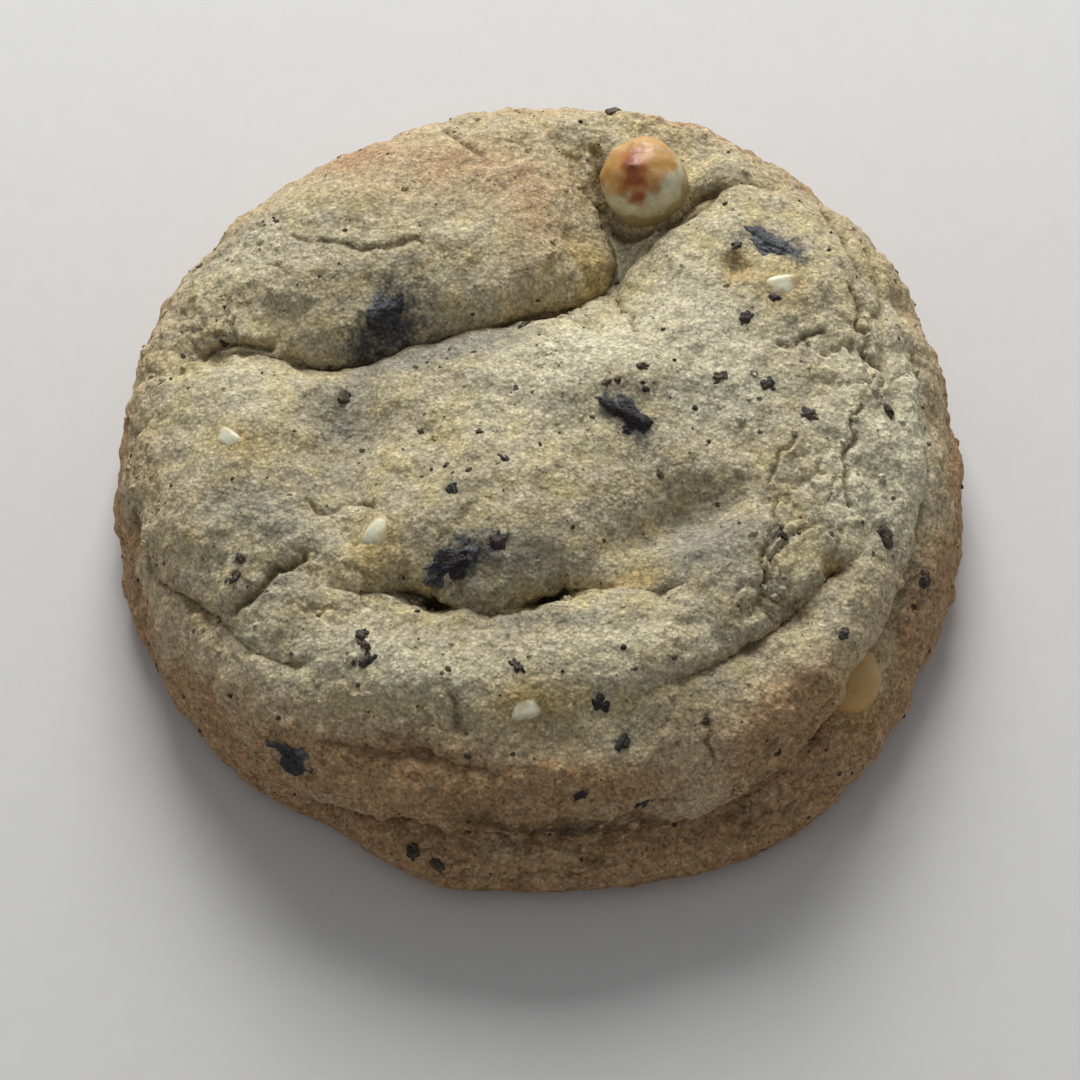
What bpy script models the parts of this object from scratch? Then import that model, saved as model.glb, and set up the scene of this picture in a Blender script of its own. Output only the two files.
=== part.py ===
"""A thick soft-baked cookie, torn and folded on top, with white chocolate chips and dark biscuit pieces.

The dough is one body. Its skin starts as an even ball of triangles, which is laid over a turned profile:
a domed crown, a rounded side and a flat underside. Lumps, hollows and folds then move that skin.
Places on the skin are given as (u, v): millimetres across and along, measured over the surface from the
middle of the crown, as if the skin were peeled off and laid flat. +v points to the back of the cookie.
"""

import math

import bmesh
import bpy
import numpy as np
from mathutils import Euler, Matrix, Vector, noise

MM = 0.001  # every size below is in millimetres

# Turned profile from the middle of the crown to the middle of the underside.
# Each station: radius, height, and how far it follows the crown's outline (1) or the foot's (0).
STATIONS = [
    (0, 21.6, 1),
    (13, 21.6, 1),
    (25, 21.1, 1),
    (34, 19.8, 1),
    (40.8, 16.6, 1),
    (44.0, 12.2, 0.8),
    (44.9, 8.4, 0.5),
    (46.3, 5.2, 0),
    (46.2, 2.0, 0),
    (44.0, 0, 0),
    (41.0, 0, 0),
    (34.0, 0, 0),
    (22.0, 0, 0),
    (11.0, 0, 0),
    (0, 0, 0),
]
OUTLINE_RADIUS = 44.0
# Where the outline stands out from a circle: azimuth and half width in degrees, millimetres.
CROWN_BULGES = [(38, 26, 2.5), (82, 28, 1.4), (150, 30, 1.4), (-142, 20, 0.6), (-118, 12, 1.0), (-20, 24, -0.8)]
FOOT_BULGES = [(-60, 14, 2.4), (-95, 16, 1.1), (-118, 8, -0.7), (0, 22, -0.7)]

# Lumps and hollows: u, v, half length, half width, turn in degrees, height.
MOUNDS = [
    (-17, 23, 15, 11, 15, 2.2),  # the big lobe at the back left
    (-7, 17, 9, 5, 15, 0.9),  # its front shoulder
    (7.2, 21.5, 8.5, 4.2, 98, -5.4),  # the torn hollow beside the whole chip
    (11.5, 28.5, 6.0, 5.5, 0, -2.6),  # the seat of the whole chip
    (12, 38, 10, 3.6, -10, 1.3),  # the rim behind it
    (19.5, 30.5, 4.0, 3.6, 0, 1.2),  # the bulge on its right
    (25, 16, 8, 7, 0, 1.3),  # the lump over the right chip
    (7, 3, 12, 6, 12, 2.0),  # the middle ridge, upper part
    (-4, -11, 12, 8, 20, 2.2),  # the middle ridge, down to its torn lip
    (-20, -4, 3.6, 10, -5, -2.5),  # the soft valley left of the ridge
    (-31, -3, 7, 8, 20, 1.1),  # the left lobe
    (-33, -14, 7, 5, -30, 1.1),
    (13, -14.5, 9, 3.1, 30, -3.0),  # the valley right of the ridge
    (17, -20, 9, 4.6, 20, 1.1),
    (30, -4, 7, 12, 0, 0.6),
    (-14, -31, 12, 4.5, -14, 1.5),  # the band in front of the lip, left part
    (8, -30, 10, 4.5, 8, 1.6),  # and its right part
    (25, -34, 11, 4, 42, 1.5),  # the outer band on the right
    (-28, -34, 8, 5, -38, 1.0),
    (0, -43.5, 12, 3.2, 2, 1.3),  # the front edge of the upper layer
    (-16, -42.5, 6, 3.0, -12, 0.6),
    (-14, -55, 9, 3.0, -14, 0.7),  # the foot in front
    (17, -56, 10, 3.0, 16, 0.9),
    (38, -38, 8, 3.5, 44, 0.9),
    (50, -10, 3.5, 12, -12, 0.9),
    (39, 12, 3.4, 2.2, 70, 0.8),  # knobs along the right shoulder
    (37, 20, 3.0, 2.2, 60, 0.7),
    (40, 4, 3.2, 2.0, 85, 0.7),
    (-10.8, -21.8, 2.6, 1.6, -8, -3.8),  # the two dark mouths under the torn lip
    (0.8, -21.6, 3.2, 1.6, 8, -3.8),
    (19.6, 16.2, 1.1, 1.6, 10, -1.6),  # pits where crumbs fell out
    (30.8, -18.5, 1.3, 1.0, 30, -1.2),
    (10, -19.6, 3.0, 1.2, 4, -0.9),  # the shallow ledge beside the lip
]

# Folds: a line of (u, v, depth share). The dough on the left of the line stands over the dough on its right.
# drop is the depth, wall the width of the standing side, reach the width of the lower side,
# lean how far the standing side hangs over the line, and ragged how unevenly it does.
FOLDS = {
    "upper_left": dict(
        line=[
            (-42, 10.5, 0),
            (-36.5, 8.8, 0.3),
            (-31.5, 8.8, 0.45),
            (-27, 7.6, 0.5),
            (-22.5, 7.6, 0.85),
            (-18, 8.8, 1),
            (-13.5, 10.4, 1),
            (-8.5, 11.6, 0.9),
            (-3.5, 12.8, 0.85),
            (1.5, 14.4, 0.85),
            (4.6, 16.6, 0.7),
            (6.2, 19, 0),
        ],
        drop=6.4,
        wall=8.5,
        reach=3.0,
        lean=2.8,
        ragged=0.35,
    ),
    "cliff": dict(
        line=[
            (6.6, 16.6, 0),
            (6.4, 19.6, 0.9),
            (5.6, 23, 1),
            (4.2, 27, 1),
            (3.2, 31, 0.8),
            (1.4, 36, 0.5),
            (-1.4, 42, 0.35),
            (-2, 47, 0),
        ],
        drop=3.6,
        wall=2.8,
        reach=2.0,
        lean=2.2,
        ragged=0.6,
    ),
    "chip_ledge": dict(
        line=[
            (26, 29.5, 0),
            (21, 28.6, 0.7),
            (16.8, 25.4, 1),
            (12.8, 22.0, 1),
            (9.6, 19.0, 0.9),
            (8.4, 16.0, 0.6),
            (8.6, 12.8, 0.5),
            (6.4, 10.4, 0),
        ],
        drop=2.2,
        wall=2.6,
        reach=1.6,
        lean=1.1,
        ragged=0.5,
    ),
    "torn_lip": dict(
        line=[
            (-23, -21, 0),
            (-19, -21.2, 0.3),
            (-15.5, -20.8, 0.5),
            (-12.8, -19.8, 0.9),
            (-10.2, -19.6, 1),
            (-7.6, -21.2, 1),
            (-5, -22.4, 1),
            (-2.4, -21.4, 1),
            (0, -19.8, 1),
            (2.6, -19.2, 0.9),
            (5.4, -20.2, 0.55),
            (9.5, -21.8, 0.35),
            (13.5, -21.8, 0.3),
            (16.5, -20.6, 0),
        ],
        drop=4.8,
        wall=3.4,
        reach=1.8,
        lean=2.8,
        ragged=0.7,
    ),
    "right_crease": dict(
        line=[
            (8, -34.4, 0),
            (12, -32.6, 0.4),
            (16, -30.8, 0.7),
            (19.5, -28.8, 0.9),
            (23.5, -26.2, 1),
            (27, -23.2, 1),
            (30.5, -19.8, 0.8),
            (34.5, -16.4, 0.3),
            (36.5, -11, 0),
        ],
        drop=2.1,
        wall=3.4,
        reach=1.6,
        lean=1.0,
        ragged=0.6,
    ),
    "left_crease": dict(
        line=[
            (-47, -3, 0),
            (-46.5, -9, 0.8),
            (-43, -15.2, 1),
            (-38.5, -19.6, 0.9),
            (-35, -21.8, 1),
            (-32.4, -24.4, 0.6),
            (-29.2, -27.2, 0.6),
            (-25.5, -28.6, 0.7),
            (-22, -29, 0),
        ],
        drop=2.2,
        wall=2.8,
        reach=1.5,
        lean=1.3,
        ragged=0.6,
    ),
    "front_crack": dict(
        line=[
            (-27, -33, 0),
            (-23, -36.2, 0.6),
            (-19, -37.6, 0.8),
            (-15.6, -38.6, 1),
            (-12, -39.0, 0.8),
            (-9, -40.2, 1),
            (-6, -41, 0.7),
            (-3, -42, 0),
        ],
        drop=1.1,
        wall=1.6,
        reach=1.0,
        lean=0.4,
        ragged=0.5,
    ),
    "waist": dict(
        line=[
            (-30, -45.6, 0),
            (-24, -46.2, 0.8),
            (-18.5, -46.8, 0.95),
            (-14, -47.4, 0.85),
            (-9, -47.7, 1),
            (-2, -48.4, 1),
            (5, -48.9, 1),
            (11, -48.4, 0.95),
            (17, -46.8, 0.8),
            (22.5, -44.2, 0.7),
            (27.5, -40.6, 0.6),
            (32.0, -35.6, 0.65),
            (35.0, -29.6, 0.75),
            (39.0, -24.4, 0.6),
            (41.8, -17.5, 0.5),
            (43, -9, 0.5),
            (42.6, 1, 0.4),
            (40.6, 11, 0.3),
            (37.5, 20, 0.2),
            (33, 28, 0),
        ],
        drop=5.0,
        wall=4.4,
        reach=2.4,
        lean=2.6,
        ragged=0.22,
    ),
    "front_step": dict(
        line=[(5, -47.0, 0), (10, -46.4, 0.8), (15.5, -45.2, 1), (20.5, -42.8, 0.7), (25, -39.6, 0)],
        drop=0.8,
        wall=1.8,
        reach=1.0,
        lean=0.6,
        ragged=0.5,
    ),
    "shoulder": dict(
        line=[(32, 25, 0), (35.2, 19.4, 0.8), (36.4, 13.6, 1), (36.8, 8, 1), (38.2, 2, 0.7), (37.6, -4, 0)],
        drop=1.0,
        wall=2.0,
        reach=1.2,
        lean=0.5,
        ragged=0.6,
    ),
}
FOLD_STEPS = 6  # straight pieces between two points of a fold's line
RAGGED_SIZE = 3.6  # length of the uneven bits along a fold's edge

LUMP_SIZE, LUMP_HEIGHT = 9.0, 0.42  # uneven dough
GRAIN_SIZE, GRAIN_HEIGHT = 3.2, 0.2  # its coarse crumb
SEED = 11

SKIN_SUBDIVISIONS = 7  # the ball has 20 x 4^6 triangles
SKIN_TRIANGLES = 7600  # left after the flat parts are thinned
UNDERSIDE_SHARE = 0.07  # of the ball's triangles

# White chocolate chips: share of the full size, skin place, sink below the skin, and tilt in degrees
# about u and about v before the turn.
CHIP_RADIUS, CHIP_HEIGHT = 4.3, 7.4
CHIP_OUTLINE = [  # half of a chip's outline, in shares of its radius and height
    (0, 0),
    (0.62, 0),
    (0.92, 0.06),
    (1.0, 0.2),
    (1.0, 0.38),
    (0.91, 0.57),
    (0.71, 0.75),
    (0.4, 0.88),
    (0.13, 0.95),
    (0, 1),
]
CHIP_SIDES = 16
CHIPS = {
    "chip_whole": dict(size=1.07, place=(11.7, 29.5), sink=-2.9, tilt=(4, -5), turn=0),
    "chip_left": dict(size=0.85, place=(-32.9, -4.6), sink=3.5, tilt=(105, 0), turn=-40),
    "chip_middle": dict(size=0.9, place=(-15.7, -16.2), sink=3.7, tilt=(105, 0), turn=62),
    "chip_front": dict(size=0.85, place=(-1.7, -34.4), sink=3.5, tilt=(105, 0), turn=190),
    "chip_right": dict(size=0.85, place=(24.7, 12.9), sink=3.4, tilt=(105, 0), turn=10),
    "chip_side": dict(size=0.95, place=(36.4, -31.4), sink=2.2, tilt=(84, 0), turn=30),
}

# Dark biscuit pieces: skin place, sink, half sizes, turn in degrees.
BISCUITS = {
    "biscuit_lobe": dict(place=(-16.4, 13.8), sink=0.8, half=(4.4, 2.1, 1.6), turn=30),
    "biscuit_ridge": dict(place=(9.2, -2.8), sink=0.7, half=(4.0, 1.9, 1.6), turn=-45),
    "biscuit_lip": dict(place=(-8.0, -18.0), sink=0.6, half=(2.9, 1.7, 1.2), turn=-8),
    "biscuit_foot": dict(place=(-26.2, -38.6), sink=0.9, half=(2.8, 2.2, 1.4), turn=-35),
    "biscuit_back": dict(place=(23.2, 19.8), sink=0.8, half=(3.6, 1.8, 1.5), turn=-38),
}
# Smaller bits are fused to the dough: u, v, half size.
FUSED_BITS = [
    (-4.2, -17.6, 1.1),
    (28.5, -1.0, 1.1),
    (24.0, 2.1, 1.0),
    (-20.3, 2.4, 1.1),
    (-1.8, 10.8, 0.9),
    (21.0, 10.0, 0.9),
    (6.1, -34.8, 1.1),
    (8.4, -38.2, 1.0),
    (-31.0, -19.5, 0.9),
    (37.4, -14.5, 1.1),
    (-17.4, -26.7, 0.9),
    (-16.9, -29.4, 0.9),
    (-37.7, 21.5, 1.0),
    (8.0, 39.9, 1.2),
    (10.5, 3.2, 0.8),
    (18.6, 2.6, 0.8),
    (-8.9, -11.4, 0.8),
    (-15.2, -51.6, 0.9),
    (-12.2, -52.3, 0.9),
    (45.2, -17.1, 0.8),
    (11.0, -44.4, 0.8),
    (37.7, 1.4, 0.9),
    (31.7, -25.7, 0.8),
]
BIT_SINK = 0.4  # share of its half size that a bit lies below the skin
POCKET_MARGIN = 0.35  # leaves a gap of about 0.3 between a chip or a biscuit piece and the dough round it

DOUGH_COLOUR = (0.56, 0.45, 0.29, 1)
CHIP_COLOUR = (0.80, 0.71, 0.48, 1)
BISCUIT_COLOUR = (0.035, 0.03, 0.03, 1)


def spline_weights(count, steps):
    """Knot number and uniform cubic B-spline weights for positions along a row of count stations."""
    knot = np.clip(np.floor(steps).astype(int), 0, count - 2)
    f = steps - knot
    weights = ((1 - f) ** 3 / 6, (3 * f**3 - 6 * f**2 + 4) / 6, (-3 * f**3 + 3 * f**2 + 3 * f + 1) / 6, f**3 / 6)
    return knot, weights


def bulge(azimuth, bulges):
    """Millimetres that the outline stands out at each azimuth."""
    total = np.zeros_like(azimuth)
    for middle, half_width, amount in bulges:
        away = (azimuth - math.radians(middle) + math.pi) % (2 * math.pi) - math.pi
        total += amount * np.exp(-((away / math.radians(half_width)) ** 2))
    return total


def turned_point(steps, azimuth):
    """Points of the plain turned body: steps counts stations from the crown, azimuth is in radians."""
    crown, foot = bulge(azimuth, CROWN_BULGES), bulge(azimuth, FOOT_BULGES)
    radii = [r * (1 + (share * crown + (1 - share) * foot) / OUTLINE_RADIUS) for r, _, share in STATIONS]
    heights = [z + 0 * azimuth for _, z, _ in STATIONS]
    radii = np.stack([-radii[1], *radii, -radii[-2]])
    heights = np.stack([heights[1], *heights, heights[-2]])
    knot, weights = spline_weights(len(STATIONS), steps)
    row = np.arange(len(steps))
    radius = sum(w * radii[knot + k, row] for k, w in enumerate(weights))
    height = sum(w * heights[knot + k, row] for k, w in enumerate(weights))
    return np.stack([radius * np.cos(azimuth), radius * np.sin(azimuth), height], 1)


def measure_profile(samples=1500):
    """Station steps along the profile, with the arc length and the share of the skin's triangles up to each."""
    steps = np.linspace(0, len(STATIONS) - 1, samples)
    points = turned_point(steps, np.full(samples, math.pi))  # the straight left side has no sharp bulge
    radius, height = -points[:, 0], points[:, 2]
    piece = np.hypot(np.diff(radius), np.diff(height))
    length = np.concatenate([[0], np.cumsum(piece)])
    area = piece * (radius[1:] + radius[:-1]) / 2
    under = (height[1:] < 1e-6).astype(float)
    share = area * (1 - under) / (area * (1 - under)).sum() * (1 - UNDERSIDE_SHARE)
    share += area * under / (area * under).sum() * UNDERSIDE_SHARE
    return steps, length, np.concatenate([[0], np.cumsum(share)])


STEPS, LENGTHS, SHARES = measure_profile()
SIDE_END = float(LENGTHS[np.searchsorted(STEPS, 8.0)])  # arc length where the side turns under
FLAT_START = float(LENGTHS[np.searchsorted(STEPS, 9.0)])


def smooth_step(low, high, value):
    x = np.clip((value - low) / (high - low), 0, 1)
    return x * x * (3 - 2 * x)


def smooth_line(points):
    """A fold's line as short straight pieces, on a Catmull-Rom curve through its points."""
    p = np.array([points[0], *points, points[-1]], float)
    out = []
    for i in range(1, len(p) - 2):
        for f in np.arange(FOLD_STEPS) / FOLD_STEPS:
            a, b, c, d = p[i - 1], p[i], p[i + 1], p[i + 2]
            out.append(0.5 * (2 * b + (c - a) * f + (2 * a - 5 * b + 4 * c - d) * f**2 + (3 * b - a - 3 * c + d) * f**3))
    return np.array([*out, p[-1]])


def beside_line(uv, line):
    """For each skin place: the distance to the line, positive on its left, the way away from it and the depth share."""
    best = np.full(len(uv), 1e9)
    away, share = np.zeros((len(uv), 2)), np.zeros(len(uv))
    left = np.zeros(len(uv))
    for a, b in zip(line[:-1], line[1:]):
        along = b[:2] - a[:2]
        f = np.clip(((uv - a[:2]) @ along) / (along @ along), 0, 1)
        to = uv - (a[:2] + f[:, None] * along)
        distance = np.hypot(to[:, 0], to[:, 1])
        nearer = distance < best
        best[nearer] = distance[nearer]
        away[nearer] = to[nearer] / (distance[nearer, None] + 1e-9)
        share[nearer] = (a[2] + f * (b[2] - a[2]))[nearer]
        left[nearer] = np.sign(along[0] * to[:, 1] - along[1] * to[:, 0])[nearer]
    return best * left, away * left[:, None], np.clip(share, 0, 1)


def fold_shift(uv, unevenness, line, drop, wall, reach, lean, ragged):
    """Lift along the skin's normal and slide over the skin that a fold gives each place."""
    distance, leftward, share = beside_line(uv, smooth_line(line))
    lean = lean * (1 + ragged * unevenness)
    on_wall = np.clip(distance / wall, 0, 1)
    standing = 1 - np.sin(on_wall * math.pi / 2)
    lower = np.exp(-np.maximum(-distance, 0) / reach)
    lift = -drop * share * np.where(distance > 0, standing, lower)
    slide = -lean * share * np.where(distance > 0, np.sin(math.pi * on_wall**0.7), 0)
    return lift, slide[:, None] * leftward


def mound_lift(uv):
    total = np.zeros(len(uv))
    for u, v, half_length, half_width, turn, height in MOUNDS:
        c, s = math.cos(math.radians(turn)), math.sin(math.radians(turn))
        x, y = uv[:, 0] - u, uv[:, 1] - v
        a, b = (x * c + y * s) / half_length, (y * c - x * s) / half_width
        total += height * np.exp(-(a**2 + b**2))
    return total


def dough_noise(points, size):
    """Smooth noise from about -1 to 1, one value a point, with features of that size."""
    shift = Vector((SEED, 2 * SEED, -SEED))
    return np.array([noise.noise(Vector(p) / size + shift) for p in points])


def skin_frame(steps, azimuth):
    """Normal, outward and sideways directions of the plain turned body."""
    small = 1e-3
    top = len(STATIONS) - 1
    outward = turned_point(np.minimum(steps + small, top), azimuth) - turned_point(np.maximum(steps - small, 0), azimuth)
    sideways = np.stack([-np.sin(azimuth), np.cos(azimuth), 0 * azimuth], 1)
    outward /= np.linalg.norm(outward, axis=1)[:, None]
    return np.cross(outward, sideways), outward, sideways


def dough_skin(uv):
    """Points of the finished skin, in millimetres, at places given as (u, v)."""
    length = np.hypot(uv[:, 0], uv[:, 1])
    azimuth = np.arctan2(uv[:, 1], uv[:, 0])
    steps = np.interp(length, LENGTHS, STEPS)
    points = turned_point(steps, azimuth)
    normal, outward, sideways = skin_frame(steps, azimuth)
    lift, slide = mound_lift(uv), np.zeros_like(uv)
    unevenness = dough_noise(points, RAGGED_SIZE)
    for fold in FOLDS.values():
        more_lift, more_slide = fold_shift(uv, unevenness, **fold)
        lift += more_lift
        slide += more_slide
    lift += LUMP_HEIGHT * dough_noise(points, LUMP_SIZE) + GRAIN_HEIGHT * dough_noise(points, GRAIN_SIZE)
    relief = (1 - smooth_step(SIDE_END - 2, FLAT_START - 1, length))[:, None]
    out_slide = slide[:, 0] * np.cos(azimuth) + slide[:, 1] * np.sin(azimuth)
    side_slide = slide[:, 1] * np.cos(azimuth) - slide[:, 0] * np.sin(azimuth)
    moved = normal * lift[:, None] + outward * out_slide[:, None] + sideways * side_slide[:, None]
    points = points + relief * moved
    points[:, 2] = np.maximum(points[:, 2], 0)
    return points


def skin_place(u, v):
    """Where (u, v) lies on the finished skin, with a frame there: across, along and outwards."""
    reach = 1.2  # millimetres, so that the small grain doesn't tilt the frame
    around = [(u, v), (u + reach, v), (u - reach, v), (u, v + reach), (u, v - reach)]
    middle, east, west, north, south = (Vector(p) for p in dough_skin(np.array(around, float)))
    across = (east - west).normalized()
    out = across.cross(north - south).normalized()
    along = out.cross(across)
    frame = Matrix((across, along, out)).transposed().to_4x4()
    return Matrix.Translation(middle) @ frame


def ball_to_skin(directions):
    """Skin places for the points of a ball, so that its triangles spread evenly over the cookie."""
    share = (1 - np.clip(directions[:, 2], -1, 1)) / 2
    length = np.interp(share, SHARES, LENGTHS)
    azimuth = np.arctan2(directions[:, 1], directions[:, 0])
    return np.stack([length * np.cos(azimuth), length * np.sin(azimuth)], 1)


def plain_material(name, colour, roughness):
    material = bpy.data.materials.new(name)
    material.use_nodes = True
    shader = material.node_tree.nodes["Principled BSDF"]
    shader.inputs["Base Color"].default_value = colour
    shader.inputs["Roughness"].default_value = roughness
    shader.inputs["Metallic"].default_value = 0
    material.diffuse_color = colour
    return material


def add_object(name, shape, material, collection=None):
    """Turns a bmesh in millimetres into an object in metres."""
    bmesh.ops.scale(shape, vec=(MM, MM, MM), verts=shape.verts)
    mesh = bpy.data.meshes.new(name)
    shape.to_mesh(mesh)
    shape.free()
    mesh.shade_smooth()
    thing = bpy.data.objects.new(name, mesh)
    if material:
        mesh.materials.append(material)
    (collection or bpy.context.scene.collection).objects.link(thing)
    return thing


def dough_shape():
    shape = bmesh.new()
    bmesh.ops.create_icosphere(shape, subdivisions=SKIN_SUBDIVISIONS, radius=1)
    directions = np.array([v.co.normalized() for v in shape.verts])
    for vertex, point in zip(shape.verts, dough_skin(ball_to_skin(directions))):
        vertex.co = point
    return shape


def chip_shape(size, margin=0.0):
    """A teardrop of white chocolate with its tip up, spun from half an outline round its middle."""
    radius, height = CHIP_RADIUS * size, CHIP_HEIGHT * size
    shape = bmesh.new()
    corners = [shape.verts.new((r * radius, 0, z * height)) for r, z in CHIP_OUTLINE]
    edges = [shape.edges.new(pair) for pair in zip(corners[:-1], corners[1:])]
    bmesh.ops.spin(
        shape,
        geom=corners + edges,
        cent=(0, 0, 0),
        axis=(0, 0, 1),
        angle=2 * math.pi,
        steps=CHIP_SIDES,
        use_merge=True,
        use_duplicate=False,
    )
    bmesh.ops.remove_doubles(shape, verts=shape.verts, dist=0.01)
    bmesh.ops.recalc_face_normals(shape, faces=shape.faces)
    bmesh.ops.translate(shape, vec=(0, 0, -height / 2), verts=shape.verts)
    grow(shape, margin)
    return shape


def biscuit_shape(half, seed, margin=0.0, subdivisions=2):
    """An angular scrap of biscuit: a rough ball, squeezed to its half sizes."""
    shape = bmesh.new()
    bmesh.ops.create_icosphere(shape, subdivisions=subdivisions, radius=1)
    for vertex in shape.verts:
        rough = noise.noise(vertex.co * 1.7 + Vector((seed, -seed, 3 * seed)))
        vertex.co *= 1 + 0.45 * rough
    bmesh.ops.scale(shape, vec=half, verts=shape.verts)
    grow(shape, margin)
    return shape


def grow(shape, margin):
    """Moves a closed shape's skin outwards by a margin."""
    shape.normal_update()
    for vertex, normal in [(v, v.normal.copy()) for v in shape.verts]:
        vertex.co += normal * margin


def seat(place, sink, turn, tilt=(0, 0)):
    """Where a chip or a biscuit piece sits: its middle lies sink below the skin."""
    lean = Euler((math.radians(tilt[0]), math.radians(tilt[1]), 0)).to_matrix().to_4x4()
    spin = Matrix.Rotation(math.radians(turn), 4, "Z")
    return skin_place(*place) @ Matrix.Translation((0, 0, -sink)) @ spin @ lean


def helper_collection(name):
    collection = bpy.data.collections.new(name)
    bpy.context.scene.collection.children.link(collection)
    return collection


def add_inclusion(name, shape, cutter, where, material, cutters):
    """A chip or a biscuit piece at its seat, and the slightly larger cutter for its pocket."""
    bmesh.ops.transform(shape, matrix=where, verts=shape.verts)
    add_object(name, shape, material)
    bmesh.ops.transform(cutter, matrix=where, verts=cutter.verts)
    pocket = add_object(name + "_pocket", cutter, None, cutters)
    pocket.hide_render = True
    pocket.display_type = "WIRE"


def keep_evaluated(thing):
    """Replaces an object's mesh by what its modifiers make of it."""
    graph = bpy.context.evaluated_depsgraph_get()
    mesh = bpy.data.meshes.new_from_object(thing.evaluated_get(graph))
    thing.modifiers.clear()
    thing.data = mesh


def keep_largest_piece(thing):
    """Drops loose scraps, and fills hollows that a union sealed, by keeping only the largest joined surface."""
    shape = bmesh.new()
    shape.from_mesh(thing.data)
    left, pieces = set(shape.faces), []
    while left:
        piece, to_visit = [], [left.pop()]
        while to_visit:
            face = to_visit.pop()
            piece.append(face)
            neighbours = {other for edge in face.edges for other in edge.link_faces} & left
            left -= neighbours
            to_visit.extend(neighbours)
        pieces.append(piece)
    pieces.sort(key=len)
    for piece in pieces[:-1]:
        bmesh.ops.delete(shape, geom=piece, context="FACES")
    shape.to_mesh(thing.data)
    shape.free()


def fuse_bits(dough, material):
    """Joins the small dark bits to the dough with one union."""
    bits = helper_collection("fused_bits")
    for number, (u, v, half) in enumerate(FUSED_BITS):
        shape = biscuit_shape((half * 1.25, half, half * 0.9), seed=number + 1, subdivisions=1)
        bmesh.ops.transform(shape, matrix=seat((u, v), BIT_SINK * half, turn=40 * number), verts=shape.verts)
        add_object(f"bit_{number}", shape, material, bits)
    union = dough.modifiers.new("bits", "BOOLEAN")
    union.operation = "UNION"
    union.operand_type = "COLLECTION"
    union.collection = bits
    union.solver = "EXACT"
    union.use_self = True  # the overhanging folds may touch the dough below them
    keep_evaluated(dough)
    keep_largest_piece(dough)
    for thing in list(bits.objects):
        bpy.data.objects.remove(thing)
    bpy.data.collections.remove(bits)


def cut_pockets(dough, cutters):
    cut = dough.modifiers.new("pockets", "BOOLEAN")
    cut.operation = "DIFFERENCE"
    cut.operand_type = "COLLECTION"
    cut.collection = cutters
    cut.solver = "EXACT"
    keep_evaluated(dough)
    keep_largest_piece(dough)


def build():
    for thing in list(bpy.data.objects):
        bpy.data.objects.remove(thing)
    baked_dough = plain_material("baked_dough", DOUGH_COLOUR, 0.85)
    white_chocolate = plain_material("white_chocolate", CHIP_COLOUR, 0.4)
    dark_biscuit = plain_material("dark_biscuit", BISCUIT_COLOUR, 0.8)

    dough = add_object("dough", dough_shape(), baked_dough)
    thin = dough.modifiers.new("thin_flat_parts", "DECIMATE")
    thin.ratio = SKIN_TRIANGLES / len(dough.data.polygons)
    keep_evaluated(dough)
    fuse_bits(dough, dark_biscuit)

    cutters = helper_collection("pocket_cutters")
    for name, chip in CHIPS.items():
        where = seat(chip["place"], chip["sink"], chip["turn"], chip["tilt"])
        shape, cutter = chip_shape(chip["size"]), chip_shape(chip["size"], POCKET_MARGIN)
        add_inclusion(name, shape, cutter, where, white_chocolate, cutters)
    for number, (name, piece) in enumerate(BISCUITS.items()):
        where = seat(piece["place"], piece["sink"], piece["turn"])
        half, seed = piece["half"], 20 + number
        shape, cutter = biscuit_shape(half, seed), biscuit_shape(half, seed, POCKET_MARGIN)
        add_inclusion(name, shape, cutter, where, dark_biscuit, cutters)
    cut_pockets(dough, cutters)


build()
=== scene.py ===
# %% [markdown]
# # A soft-baked cookie with white chocolate chips
# A thick cookie about 92 mm wide. It was pulled into a ball of dough, torn and pressed together again, so
# its top is folded. Whole and half-hidden white chocolate chips, scraps of dark biscuit and a fine dark
# dust are baked into it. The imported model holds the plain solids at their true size. This notebook gives
# each of them its real surface.

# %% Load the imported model
import math

import bmesh
import bpy
import numpy as np
from mathutils import Euler, Matrix, Vector, noise
from mathutils.bvhtree import BVHTree


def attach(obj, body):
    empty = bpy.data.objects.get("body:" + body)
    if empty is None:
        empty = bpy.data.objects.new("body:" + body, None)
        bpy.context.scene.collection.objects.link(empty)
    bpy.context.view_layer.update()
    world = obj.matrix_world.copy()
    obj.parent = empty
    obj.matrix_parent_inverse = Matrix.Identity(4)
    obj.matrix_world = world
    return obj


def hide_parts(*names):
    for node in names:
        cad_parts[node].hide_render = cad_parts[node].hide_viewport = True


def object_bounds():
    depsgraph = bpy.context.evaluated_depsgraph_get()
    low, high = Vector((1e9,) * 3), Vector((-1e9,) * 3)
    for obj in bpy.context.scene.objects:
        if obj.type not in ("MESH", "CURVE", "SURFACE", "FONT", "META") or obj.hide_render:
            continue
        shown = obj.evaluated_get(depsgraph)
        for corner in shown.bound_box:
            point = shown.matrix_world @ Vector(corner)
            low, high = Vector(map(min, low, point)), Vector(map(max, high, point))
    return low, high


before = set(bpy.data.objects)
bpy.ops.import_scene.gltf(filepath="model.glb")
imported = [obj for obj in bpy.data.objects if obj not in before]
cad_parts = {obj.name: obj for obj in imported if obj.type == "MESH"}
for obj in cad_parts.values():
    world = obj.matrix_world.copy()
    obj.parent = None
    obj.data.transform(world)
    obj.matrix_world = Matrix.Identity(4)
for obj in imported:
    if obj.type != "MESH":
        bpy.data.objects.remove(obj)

cad_low, cad_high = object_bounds()
print("the packed model is", [round(1000 * side, 1) for side in cad_high - cad_low], "mm")

# %% [markdown]
# ## Camera
# The photo looks down on the cookie from the front, at about 60 degrees above the table, through a long
# lens. The outline is then a little shorter from front to back than it is wide, and the foot of the cookie
# shows only along the front and the right. A long lens far away keeps that flat perspective.

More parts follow.
